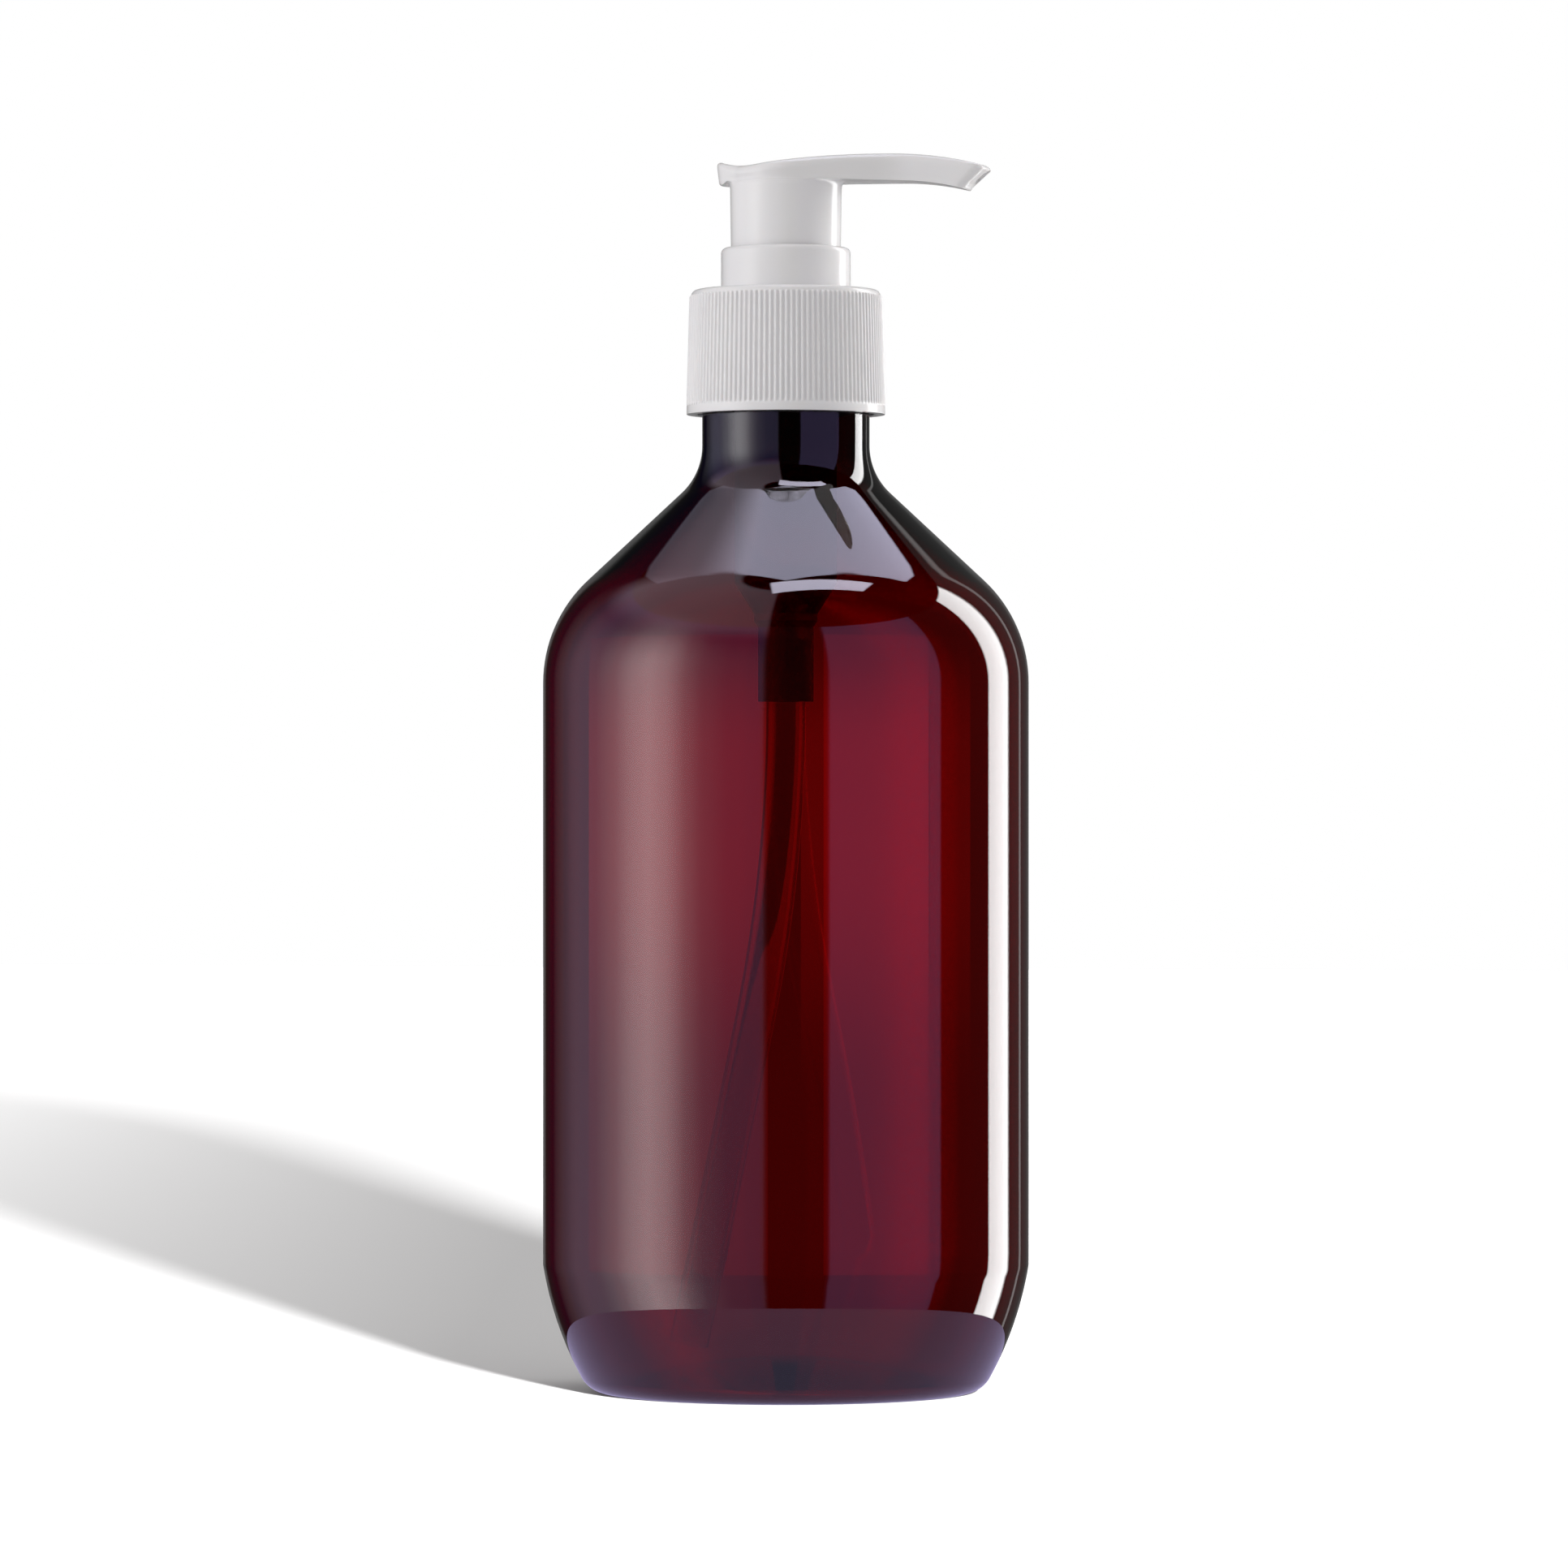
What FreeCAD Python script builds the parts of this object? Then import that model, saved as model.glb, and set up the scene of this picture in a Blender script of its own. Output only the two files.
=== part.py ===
import FreeCAD, Part
import math
import os
import re

import Sketcher

# A lotion pump on a clear bottle.  Millimetres, +Z up, the spout along +X.
# The origin is the centre of the ring that the bottle stands on.

SIZES = {
    # bottle, outside
    "body_radius": 38.0,
    "foot_inner": 26.3,
    "foot_outer": 28.1,
    "base_rise": 3.5,
    "heel_radius": 4.4,
    "heel_angle": 27.0,
    "heel_height": 19.9,
    "heel_curve": 55.0,
    "shoulder_height": 110.9,
    "shoulder_radius": 21.9,
    "cone_angle": 47.0,
    "neck_radius": 13.1,
    "neck_fillet": 10.2,
    "thread_root": 12.5,
    "thread_crest": 13.65,
    "thread_floor": 155.0,
    "lip_height": 168.9,
    "lip_chamfer": 0.5,
    # bottle, inside
    "mouth_radius": 10.75,
    "mouth_depth": 19.4,
    "mouth_fillet": 13.9,
    "body_wall": 0.75,
    "shoulder_wall": 0.93,
    "heel_wall": 1.0,
    "base_wall": 1.7,
    "inner_heel_lift": 0.3,
    # screw thread, shared by the bottle and the closure
    "thread_pitch": 4.233,
    "thread_turns": 1.5,
    "thread_start": 159.6,
    "thread_root_width": 2.0,
    "thread_crest_width": 1.0,
    "thread_bury": 0.2,
    # closure
    "closure_top_radius": 14.85,
    "closure_bottom_radius": 15.3,
    "closure_bottom": 152.9,
    "closure_height": 19.5,
    "closure_round": 1.0,
    "closure_bore": 13.85,
    "closure_hole": 9.6,
    "closure_roof": 1.3,
    "closure_thread_crest": 12.7,
    "bead_radius": 15.55,
    "bead_height": 1.7,
    "rib_count": 114,
    "rib_rise": 0.27,
    "rib_width": 0.42,
    # gasket and pump housing
    "gasket_thickness": 1.0,
    "gasket_inner": 10.5,
    "gasket_outer": 12.4,
    "flange_radius": 12.2,
    "cup_outer": 10.45,
    "cup_inner": 9.5,
    "cup_floor_bottom": 160.0,
    "cup_floor": 161.5,
    "barrel_bore": 7.0,
    "barrel_outer": 8.0,
    "barrel_bottom": 127.0,
    "barrel_floor": 128.2,
    "step_radius": 4.96,
    "step_bottom": 120.9,
    "step_top": 122.0,
    "socket_outer": 4.35,
    "socket_bottom": 108.0,
    "socket_top": 119.9,
    "tube_stop": 118.0,
    "inlet_bore": 1.6,
    "inlet_seat": 122.8,
    "inlet_chamber": 2.6,
    "seat_rise": 1.2,
    "vent_radius": 0.6,
    "vent_height": 155.5,
    # lock collar and stem seal
    "collar_radius": 10.15,
    "collar_bottom": 172.5,
    "collar_top": 179.0,
    "collar_round": 0.9,
    "collar_bore": 8.85,
    "sleeve_radius": 9.45,
    "collar_floor": 161.6,
    "collar_floor_top": 163.0,
    "stem_hole": 4.2,
    "guide_inner": 5.5,
    "guide_outer": 6.5,
    "guide_top": 178.4,
    "gap_floor": 169.7,
    "gap_start": -8.0,
    "gap_angle": 96.0,
    "post_top": 179.6,
    "post_angle": 8.0,
    "post_lead": 16.0,
    "post_depth": 1.0,
    "gap_margin": 0.3,
    "seal_height": 2.0,
    "seal_lip": 0.4,
    "seal_lip_foot": 0.5,
    # stem, piston and core
    "stem_radius": 4.0,
    "stem_bore": 1.6,
    "stem_bottom": 158.0,
    "stem_top": 186.0,
    "stem_socket_depth": 7.2,
    "outlet_seat": 181.4,
    "outlet_seat_rise": 1.3,
    "outlet_chamber": 2.7,
    "core_radius": 2.4,
    "core_bore": 1.2,
    "core_flange": 5.0,
    "core_bottom": 149.0,
    "core_port": 0.7,
    "core_port_height": 152.6,
    "core_flange_edge": 0.8,
    "core_flange_slope": 0.9,
    "core_end_gap": 0.2,
    "core_drill_point": 0.4,
    "piston_radius": 6.97,
    "piston_waist": 6.8,
    "piston_inner": 6.2,
    "piston_hub": 4.0,
    "piston_bottom": 150.6,
    "piston_top": 157.6,
    "piston_web": 153.4,
    "piston_web_thickness": 1.4,
    "piston_lip": 1.2,
    "piston_lip_slope": 0.4,
    "piston_bevel": 0.6,
    "hub_drop": 0.4,
    "hub_stand": 0.1,
    # spring, retainer and balls
    "retainer_radius": 6.95,
    "retainer_thickness": 1.8,
    "retainer_boss": 3.5,
    "retainer_boss_height": 1.6,
    "retainer_boss_taper": 0.3,
    "retainer_hole": 0.8,
    "retainer_hole_ring": 2.2,
    "spring_radius": 4.15,
    "wire_radius": 0.45,
    "spring_turns": 8,
    "inlet_ball_radius": 2.25,
    "outlet_ball_radius": 2.2,
    "ball_clearance": 0.02,
    # actuator head
    "skirt_bottom": 177.3,
    "skirt_bottom_radius": 8.58,
    "skirt_top_radius": 8.75,
    "skirt_bore": 7.5,
    "skirt_roof": 188.5,
    "head_underside": 189.3,
    "spout_underside": 189.05,
    "spout_bend": 18.0,
    "spout_droop": 1.65,
    "spout_reach": 29.9,
    "spout_tip": 32.5,
    "spout_tip_height": 191.1,
    "spout_half_width": 3.8,
    "flank_angle": 73.0,
    "head_blank": 8.0,
    "spout_root": 17.9,
    "spout_root_blend": 2.2,
    "crest_place": 17.0,
    "crest_height": 193.3,
    "saddle_place": -5.7,
    "saddle_height": 191.7,
    "saddle_curve": 18.0,
    "heel_reach": 10.9,
    "heel_half_width": 5.2,
    "heel_lip_place": -11.4,
    "heel_lip_height": 192.85,
    "head_round": 1.3,
    "heel_corner_round": 2.5,
    "tip_round": 1.2,
    "stem_socket_radius": 5.2,
    "stem_socket_bottom": 180.5,
    "fin_outer": 6.6,
    "fin_bottom": 178.6,
    "fin_thickness": 1.2,
    "channel_radius": 1.3,
    "channel_height": 190.4,
    "channel_curve": 99.0,
    "channel_end_height": 189.1,
    # dip tube
    "tube_radius": 3.15,
    "tube_wall": 0.8,
    "tube_bend_start": 107.5,
    "tube_bend_curve": 245.0,
    "tube_bend_angle": 11.66,
    "tube_tail": 52.0,
    # clearances, and how far cuts run on past the solid
    "press_gap": 0.02,
    "running_gap": 0.03,
    "overcut": 1.0,
    "bury": 0.1,
}

# how near two places are when they count as the same
SAME_PLACE = 0.1

doc = FreeCAD.newDocument("pump_dispenser")
sheet = doc.addObject("Spreadsheet::Sheet", "Sizes")
for row, (alias, number) in enumerate(SIZES.items(), start=1):
    sheet.set(f"A{row}", alias)
    sheet.set(f"B{row}", str(number))
    sheet.setAlias(f"B{row}", alias)
doc.recompute()


def sized(expression):
    """Point each size name in an expression at its cell of the sheet."""
    def cell(word):
        name = word.group()
        return f"Sizes.{name}" if name in SIZES else name
    return re.sub(r"[a-z_]+", cell, str(expression))


def value(expression):
    """The number that an expression over the sheet has now."""
    return float(sheet.evalExpression(sized(expression)))


def new_body(label):
    body = doc.addObject("PartDesign::Body", label)
    body.Label = label
    return body


def origin_feature(body, role):
    return next(item for item in body.Origin.OriginFeatures if item.Role == role)


def attached_sketch(body, name, plane, lift="0", turn_angle=0):
    """A sketch on one of the body's origin planes, lifted off it or turned about the sketch's own up."""
    sketch = body.newObject("Sketcher::SketchObject", f"{body.Label}_{name}")
    sketch.AttachmentSupport = [(origin_feature(body, plane), "")]
    sketch.MapMode = "FlatFace"
    rotation = FreeCAD.Rotation(FreeCAD.Vector(0, 1, 0), turn_angle)
    sketch.AttachmentOffset = FreeCAD.Placement(FreeCAD.Vector(0, 0, value(lift)), rotation)
    sketch.setExpression("AttachmentOffset.Base.z", sized(lift))
    return sketch


def arc_between(start, end, radius, side):
    """The short arc from start to end whose centre lies on the left or right of the way there."""
    middle = (start + end) / 2
    along = end - start
    half = along.Length / 2
    rise = math.sqrt(max(radius * radius - half * half, 0.0))
    across = FreeCAD.Vector(-along.y, along.x, 0) / along.Length
    centre = middle + across * (rise if side == "left" else -rise)
    first, last = (start, end) if side == "left" else (end, start)
    circle = Part.Circle(centre, FreeCAD.Vector(0, 0, 1), radius)
    angle_first = math.atan2(first.y - centre.y, first.x - centre.x)
    angle_last = math.atan2(last.y - centre.y, last.x - centre.x)
    return Part.ArcOfCircle(circle, angle_first, angle_last)


def draw_path(sketch, corners, closed=True):
    """Draw lines and arcs through the corners and size each corner from the sheet.

    A corner is (across, up), or (across, up, radius, side) when an arc leads to it.
    """
    points = [FreeCAD.Vector(value(corner[0]), value(corner[1]), 0) for corner in corners]
    count = len(corners)
    edges = []
    starts = []
    ends = []
    first = 0 if closed else 1
    for index in range(first, count):
        before = points[index - 1]
        here = points[index]
        corner = corners[index]
        if len(corner) == 4:
            edges.append(arc_between(before, here, value(corner[2]), corner[3]))
            starts.append(1 if corner[3] == "left" else 2)
            ends.append(2 if corner[3] == "left" else 1)
        else:
            edges.append(Part.LineSegment(before, here))
            starts.append(1)
            ends.append(2)
    base = sketch.GeometryCount
    sketch.addGeometry(edges, False)

    constraints = []
    bindings = []

    def bind(kind, *arguments, expression):
        bindings.append((sketch.ConstraintCount + len(constraints), expression))
        constraints.append(Sketcher.Constraint(kind, *arguments, value(expression)))

    for edge, index in enumerate(range(first, count)):
        geometry = base + edge
        corner = corners[index]
        bind("DistanceX", -1, 1, geometry, ends[edge], expression=corner[0])
        bind("DistanceY", -1, 1, geometry, ends[edge], expression=corner[1])
        if len(corner) == 4:
            bind("Radius", geometry, expression=corner[2])
        if edge > 0:
            constraints.append(
                Sketcher.Constraint("Coincident", geometry - 1, ends[edge - 1], geometry, starts[edge]))
    if closed:
        constraints.append(
            Sketcher.Constraint("Coincident", base + count - 1, ends[-1], base, starts[0]))
    else:
        bind("DistanceX", -1, 1, base, starts[0], expression=corners[0][0])
        bind("DistanceY", -1, 1, base, starts[0], expression=corners[0][1])
    sketch.addConstraint(constraints)
    for place, expression in bindings:
        sketch.setExpression(f"Constraints[{place}]", sized(expression))
    return sketch


def outline(body, name, corners, **placing):
    """A sized sketch of a radial section: radius across, height up."""
    return draw_path(attached_sketch(body, name, "XZ_Plane", **placing), corners)


def turn(body, corners, name="turned", angle="360", start=0, kind="Revolution"):
    """Turn a radial section about the Z axis, from the start angle on through the given angle."""
    sketch = outline(body, f"{name}_section", corners, turn_angle=start)
    feature = body.newObject(f"PartDesign::{kind}", f"{body.Label}_{name}")
    feature.Profile = sketch
    feature.ReferenceAxis = (sketch, ["V_Axis"])
    feature.setExpression("Angle", sized(angle))
    body.Tip = feature
    return feature


def helix(body, corners, pitch, height, name="helix", start=0):
    """Sweep a radial section up a right-hand helix about the Z axis."""
    sketch = outline(body, f"{name}_section", corners, turn_angle=start)
    feature = body.newObject("PartDesign::AdditiveHelix", f"{body.Label}_{name}")
    feature.Profile = sketch
    feature.ReferenceAxis = (sketch, ["V_Axis"])
    feature.Mode = "pitch-height-angle"
    feature.setExpression("Pitch", sized(pitch))
    feature.setExpression("Height", sized(height))
    body.Tip = feature
    return feature


def repeat(body, feature, count, name):
    """Repeat a feature evenly round the Z axis."""
    pattern = body.newObject("PartDesign::PolarPattern", f"{body.Label}_{name}")
    pattern.Originals = [feature]
    pattern.Axis = (origin_feature(body, "Z_Axis"), [""])
    pattern.Angle = 360
    pattern.setExpression("Occurrences", sized(count))
    body.Tip = pattern
    return pattern


def extrude(body, sketch, length, name, kind="Pad", both_ways=True):
    """Pad or pocket a sketch, evenly both ways from its plane or one way only."""
    feature = body.newObject(f"PartDesign::{kind}", f"{body.Label}_{name}")
    feature.Profile = sketch
    feature.SideType = "Symmetric" if both_ways else "One side"
    feature.setExpression("Length", sized(length))
    body.Tip = feature
    return feature


def bored_circle(sketch, across, up, radius):
    """Add a sized circle to a sketch."""
    centre = FreeCAD.Vector(value(across), value(up), 0)
    place = sketch.addGeometry(Part.Circle(centre, FreeCAD.Vector(0, 0, 1), value(radius)), False)
    for kind, arguments, expression in (
            ("DistanceX", (-1, 1, place, 3), across),
            ("DistanceY", (-1, 1, place, 3), up),
            ("Radius", (place,), radius)):
        index = sketch.addConstraint(Sketcher.Constraint(kind, *arguments, value(expression)))
        sketch.setExpression(f"Constraints[{index}]", sized(expression))
    return sketch


def thread_section(root, crest, middle):
    """The four corners of a thread ridge from its buried root to its crest."""
    half_root = "thread_root_width / 2"
    half_crest = "thread_crest_width / 2"
    return [
        (root, f"{middle} - {half_root}"),
        (crest, f"{middle} - {half_crest}"),
        (crest, f"{middle} + {half_crest}"),
        (root, f"{middle} + {half_root}"),
    ]


def make_bottle():
    """A blown bottle: pushed-up base, tapered heel, straight body, conical shoulder, threaded neck."""
    body = new_body("bottle")
    cone_end_radius = "neck_radius + neck_fillet * (1 - cos(cone_angle))"
    cone_start_radius = "body_radius - shoulder_radius * (1 - cos(cone_angle))"
    cone_start_height = "shoulder_height + shoulder_radius * sin(cone_angle)"
    cone_end_height = f"{cone_start_height} + ({cone_start_radius} - ({cone_end_radius})) / tan(cone_angle)"
    mouth_end_radius = "mouth_radius + mouth_fillet * (1 - cos(cone_angle))"
    mouth_end_height = "lip_height - mouth_depth - mouth_fillet * sin(cone_angle)"
    inner_radius = "body_radius - body_wall"
    inner_shoulder = "shoulder_radius - body_wall"
    inner_heel_radius = "heel_radius - heel_wall"
    push_up = "(base_rise + base_wall - heel_wall)"
    turn(body, [
        ("0", "base_rise"),
        ("foot_inner", "0", "(foot_inner^2 + base_rise^2) / (2 * base_rise)", "right"),
        ("foot_outer", "0"),
        ("foot_outer + heel_radius * cos(heel_angle)", "heel_radius * (1 - sin(heel_angle))",
         "heel_radius", "left"),
        ("body_radius", "heel_height", "heel_curve", "left"),
        ("body_radius", "shoulder_height"),
        (cone_start_radius, cone_start_height, "shoulder_radius", "left"),
        (cone_end_radius, cone_end_height),
        ("neck_radius", f"{cone_end_height} + neck_fillet * sin(cone_angle)", "neck_fillet", "right"),
        ("neck_radius", "thread_floor - (neck_radius - thread_root)"),
        ("thread_root", "thread_floor"),
        ("thread_root", "lip_height - lip_chamfer"),
        ("thread_root - lip_chamfer", "lip_height"),
        ("mouth_radius", "lip_height"),
        ("mouth_radius", "lip_height - mouth_depth"),
        (mouth_end_radius, mouth_end_height, "mouth_fillet", "left"),
        (f"{inner_radius} - ({inner_shoulder}) * (1 - cos(cone_angle)) + (body_wall - shoulder_wall)",
         f"shoulder_height + ({inner_shoulder}) * sin(cone_angle)"),
        (inner_radius, "shoulder_height", inner_shoulder, "right"),
        (inner_radius, "heel_height + inner_heel_lift"),
        ("foot_outer + (heel_radius - heel_wall) * cos(heel_angle)",
         "heel_radius - (heel_radius - heel_wall) * sin(heel_angle)", "heel_curve - heel_wall", "right"),
        ("foot_outer", "heel_wall", inner_heel_radius, "right"),
        ("foot_inner", "heel_wall"),
        ("0", "base_rise + base_wall", f"(foot_inner^2 + {push_up}^2) / (2 * {push_up})", "left"),
    ], name="wall")
    helix(body, thread_section("thread_root - thread_bury", "thread_crest", "thread_start"),
          "thread_pitch", "thread_pitch * thread_turns", name="thread")
    return body


def make_closure():
    """A ribbed screw cap with a hole in its roof, a bottom bead and an inside thread."""
    body = new_body("closure")
    wall_slope = "(closure_bottom_radius - closure_top_radius) / (closure_height - bead_height)"
    top = "closure_bottom + closure_height"
    turn(body, [
        ("closure_bore", "closure_bottom"),
        ("bead_radius", "closure_bottom"),
        ("bead_radius", "closure_bottom + bead_height - rib_rise"),
        ("closure_bottom_radius", "closure_bottom + bead_height"),
        ("closure_top_radius", f"{top} - closure_round"),
        ("closure_top_radius - closure_round", top, "closure_round", "left"),
        ("closure_hole", top),
        ("closure_hole", f"{top} - closure_roof"),
        ("closure_bore", f"{top} - closure_roof"),
    ], name="shell")
    helix(body, thread_section("closure_bore + thread_bury", "closure_thread_crest",
                               "thread_start - thread_pitch / 2"),
          "thread_pitch", "thread_pitch * thread_turns", name="thread")
    rib_top = f"{top} - closure_round"
    rib = outline(body, "rib_section", [
        ("closure_bottom_radius - rib_rise", "closure_bottom + bead_height / 2"),
        ("closure_bottom_radius + rib_rise", "closure_bottom + bead_height / 2"),
        (f"closure_bottom_radius + rib_rise - ({wall_slope}) * bead_height / 2",
         "closure_bottom + bead_height"),
        ("closure_top_radius + rib_rise", f"{rib_top} - rib_rise"),
        ("closure_top_radius", rib_top),
        ("closure_top_radius - rib_rise", rib_top),
    ])
    pad = extrude(body, rib, "rib_width", "rib")
    repeat(body, pad, "rib_count", "ribs")
    return body


def make_neck_gasket():
    """A flat ring between the bottle's lip and the pump's flange."""
    body = new_body("neck_gasket")
    turn(body, [
        ("gasket_inner", "lip_height"),
        ("gasket_outer", "lip_height"),
        ("gasket_outer", "lip_height + gasket_thickness"),
        ("gasket_inner", "lip_height + gasket_thickness"),
    ])
    return body


def make_pump_housing():
    """The pump's cylinder: flanged cup at the top, barrel, inlet seat and a socket for the dip tube."""
    body = new_body("pump_housing")
    roof_bottom = "closure_bottom + closure_height - closure_roof"
    turn(body, [
        ("tube_radius + press_gap", "socket_bottom"),
        ("socket_outer", "socket_bottom"),
        ("socket_outer", "socket_top"),
        ("step_radius", "step_bottom"),
        ("step_radius", "step_top"),
        ("barrel_outer", "barrel_bottom"),
        ("barrel_outer", "cup_floor_bottom"),
        ("cup_outer", "cup_floor_bottom"),
        ("cup_outer", "lip_height + gasket_thickness"),
        ("flange_radius", "lip_height + gasket_thickness"),
        ("flange_radius", roof_bottom),
        ("cup_inner", roof_bottom),
        ("cup_inner", "cup_floor"),
        ("barrel_bore", "cup_floor"),
        ("barrel_bore", "barrel_floor"),
        ("inlet_chamber", "barrel_floor"),
        ("inlet_chamber", "inlet_seat + seat_rise"),
        ("inlet_bore", "inlet_seat"),
        ("inlet_bore", "tube_stop"),
        ("tube_radius + press_gap", "tube_stop"),
    ], name="wall")
    vent = attached_sketch(body, "vent_section", "XZ_Plane")
    bored_circle(vent, "0", "vent_height", "vent_radius")
    extrude(body, vent, "2 * (barrel_outer + overcut)", "vent", kind="Pocket")
    return body


def make_lock_collar():
    """The collar that plugs the housing's cup, holds the closure down and carries the lock crown."""
    body = new_body("lock_collar")
    turn(body, [
        ("stem_hole", "collar_floor"),
        ("sleeve_radius", "collar_floor"),
        ("sleeve_radius", "collar_bottom"),
        ("collar_radius", "collar_bottom"),
        ("collar_radius", "collar_top - collar_round"),
        ("collar_radius - collar_round", "collar_top", "collar_round", "left"),
        ("collar_bore", "collar_top"),
        ("collar_bore", "collar_floor_top"),
        ("guide_outer", "collar_floor_top"),
        ("guide_outer", "guide_top"),
        ("guide_inner", "guide_top"),
        ("guide_inner", "collar_floor_top"),
        ("stem_hole", "collar_floor_top"),
    ], name="shell")
    gap = turn(body, [
        ("guide_inner - gap_margin", "gap_floor"),
        ("guide_outer + gap_margin", "gap_floor"),
        ("guide_outer + gap_margin", "guide_top + overcut"),
        ("guide_inner - gap_margin", "guide_top + overcut"),
    ], name="crown_gap", angle="gap_angle", start=value("gap_start"), kind="Groove")
    repeat(body, gap, "2", "crown_gaps")
    for side, start in (("first", "gap_start - post_angle"), ("last", "gap_start + gap_angle + post_lead")):
        post = turn(body, [
            ("guide_inner", "guide_top - post_depth"),
            ("guide_outer", "guide_top - post_depth"),
            ("guide_outer", "post_top"),
            ("guide_inner", "post_top"),
        ], name=f"{side}_post", angle="post_angle", start=value(start))
        repeat(body, post, "2", f"{side}_posts")
    return body


def make_stem_seal():
    """A lipped ring that wipes the stem, on the collar's floor inside the guide."""
    body = new_body("stem_seal")
    bore = "stem_radius + running_gap"
    rim = "guide_inner - press_gap"
    turn(body, [
        (bore, "collar_floor_top"),
        (rim, "collar_floor_top"),
        (rim, "collar_floor_top + seal_height"),
        (f"{rim} - seal_lip", "collar_floor_top + seal_height"),
        (f"{rim} - seal_lip_foot", "collar_floor_top + seal_height / 2"),
        (f"{bore} + seal_lip_foot", "collar_floor_top + seal_height / 2"),
        (f"{bore} + seal_lip", "collar_floor_top + seal_height"),
        (bore, "collar_floor_top + seal_height"),
    ])
    return body


def make_ball_retainer():
    """A pierced disc over the inlet ball, whose boss centres the spring."""
    body = new_body("ball_retainer")
    seat = "barrel_floor + retainer_thickness"
    turn(body, [
        ("0", "barrel_floor"),
        ("retainer_radius", "barrel_floor"),
        ("retainer_radius", seat),
        ("retainer_boss", seat),
        ("retainer_boss - retainer_boss_taper", f"{seat} + retainer_boss_height"),
        ("0", f"{seat} + retainer_boss_height"),
    ], name="disc")
    hole = attached_sketch(body, "hole_section", "XY_Plane")
    bored_circle(hole, "retainer_hole_ring", "0", "retainer_hole")
    drilled = extrude(body, hole, "2 * lip_height", "hole", kind="Pocket")
    repeat(body, drilled, "4", "holes")
    return body


def make_spring():
    """The return spring, from the retainer up to the core's flange."""
    body = new_body("spring")
    bottom = "barrel_floor + retainer_thickness + wire_radius"
    height = "core_bottom - barrel_floor - retainer_thickness - 2 * wire_radius"
    section = attached_sketch(body, "wire_section", "XZ_Plane")
    bored_circle(section, "spring_radius", bottom, "wire_radius")
    feature = body.newObject("PartDesign::AdditiveHelix", "spring_coil")
    feature.Profile = section
    feature.ReferenceAxis = (section, ["V_Axis"])
    feature.Mode = "height-turns-angle"
    feature.setExpression("Height", sized(height))
    feature.setExpression("Turns", sized("spring_turns"))
    body.Tip = feature
    return body


def seated_height(ball_radius, seat_bottom, seat_rise, bore, chamber):
    """The height of a ball's centre when it rests in a conical seat."""
    slope = f"atan(({chamber} - {bore}) / {seat_rise})"
    contact = f"({ball_radius} * cos({slope}) - {bore}) * {seat_rise} / ({chamber} - {bore})"
    return f"{seat_bottom} + {contact} + {ball_radius} * sin({slope}) + ball_clearance"


def make_ball(label, ball_radius, height):
    ball = doc.addObject("Part::Sphere", label)
    ball.Label = label
    ball.setExpression("Radius", sized(ball_radius))
    ball.setExpression("Placement.Base.z", sized(height))
    return ball


def make_piston():
    """A double-lipped piston whose hub rides on the core's shaft."""
    body = new_body("piston")
    hub_bore = "core_radius + running_gap"
    hub_bottom = "piston_bottom + hub_drop"
    hub_top = "piston_top + hub_stand"
    rim = "(piston_radius + piston_inner) / 2"
    web_top = "piston_web + piston_web_thickness"
    turn(body, [
        (hub_bore, hub_bottom),
        ("piston_hub", hub_bottom),
        ("piston_hub", "piston_web"),
        ("piston_inner", "piston_web"),
        ("piston_inner", "piston_bottom + piston_bevel"),
        (rim, "piston_bottom"),
        ("piston_radius", "piston_bottom"),
        ("piston_radius", "piston_bottom + piston_lip"),
        ("piston_waist", "piston_bottom + piston_lip + piston_lip_slope"),
        ("piston_waist", "piston_top - piston_lip - piston_lip_slope"),
        ("piston_radius", "piston_top - piston_lip"),
        ("piston_radius", "piston_top"),
        (rim, "piston_top"),
        ("piston_inner", "piston_top - piston_bevel"),
        ("piston_inner", web_top),
        ("piston_hub", web_top),
        ("piston_hub", hub_top),
        (hub_bore, hub_top),
    ])
    return body


def make_piston_core():
    """A flanged hollow shaft, closed below, with ports that the piston's hub covers at rest."""
    body = new_body("piston_core")
    turn(body, [
        ("0", "core_bottom"),
        ("core_flange", "core_bottom"),
        ("core_flange", "core_bottom + core_flange_edge"),
        ("core_radius", "core_bottom + core_flange_edge + core_flange_slope"),
        ("core_radius", "stem_bottom + stem_socket_depth - core_end_gap"),
        ("core_bore", "stem_bottom + stem_socket_depth - core_end_gap"),
        ("core_bore", "core_port_height - core_port"),
        ("0", "core_port_height - core_port - core_drill_point"),
    ], name="shaft")
    port = attached_sketch(body, "port_section", "XZ_Plane")
    bored_circle(port, "0", "core_port_height", "core_port")
    drilled = extrude(body, port, "core_flange", "port", kind="Pocket", both_ways=False)
    repeat(body, drilled, "4", "ports")
    return body


def make_stem():
    """A hollow stem with a socket for the core below and a seat for the outlet ball above."""
    body = new_body("stem")
    turn(body, [
        ("core_radius + press_gap", "stem_bottom"),
        ("stem_radius", "stem_bottom"),
        ("stem_radius", "stem_top"),
        ("outlet_chamber", "stem_top"),
        ("outlet_chamber", "outlet_seat + outlet_seat_rise"),
        ("stem_bore", "outlet_seat"),
        ("stem_bore", "stem_bottom + stem_socket_depth"),
        ("core_radius + press_gap", "stem_bottom + stem_socket_depth"),
    ])
    return body


def ends_at(edge, across, side):
    """Whether both ends of an edge stand over a place in plan, on either side of the spout's line."""
    return all(abs(vertex.X - across) < SAME_PLACE and abs(abs(vertex.Y) - side) < SAME_PLACE
               for vertex in edge.Vertexes)


def is_upright(edge):
    """Whether an edge runs straight up."""
    return edge.BoundBox.XLength < SAME_PLACE and edge.BoundBox.YLength < SAME_PLACE


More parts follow.
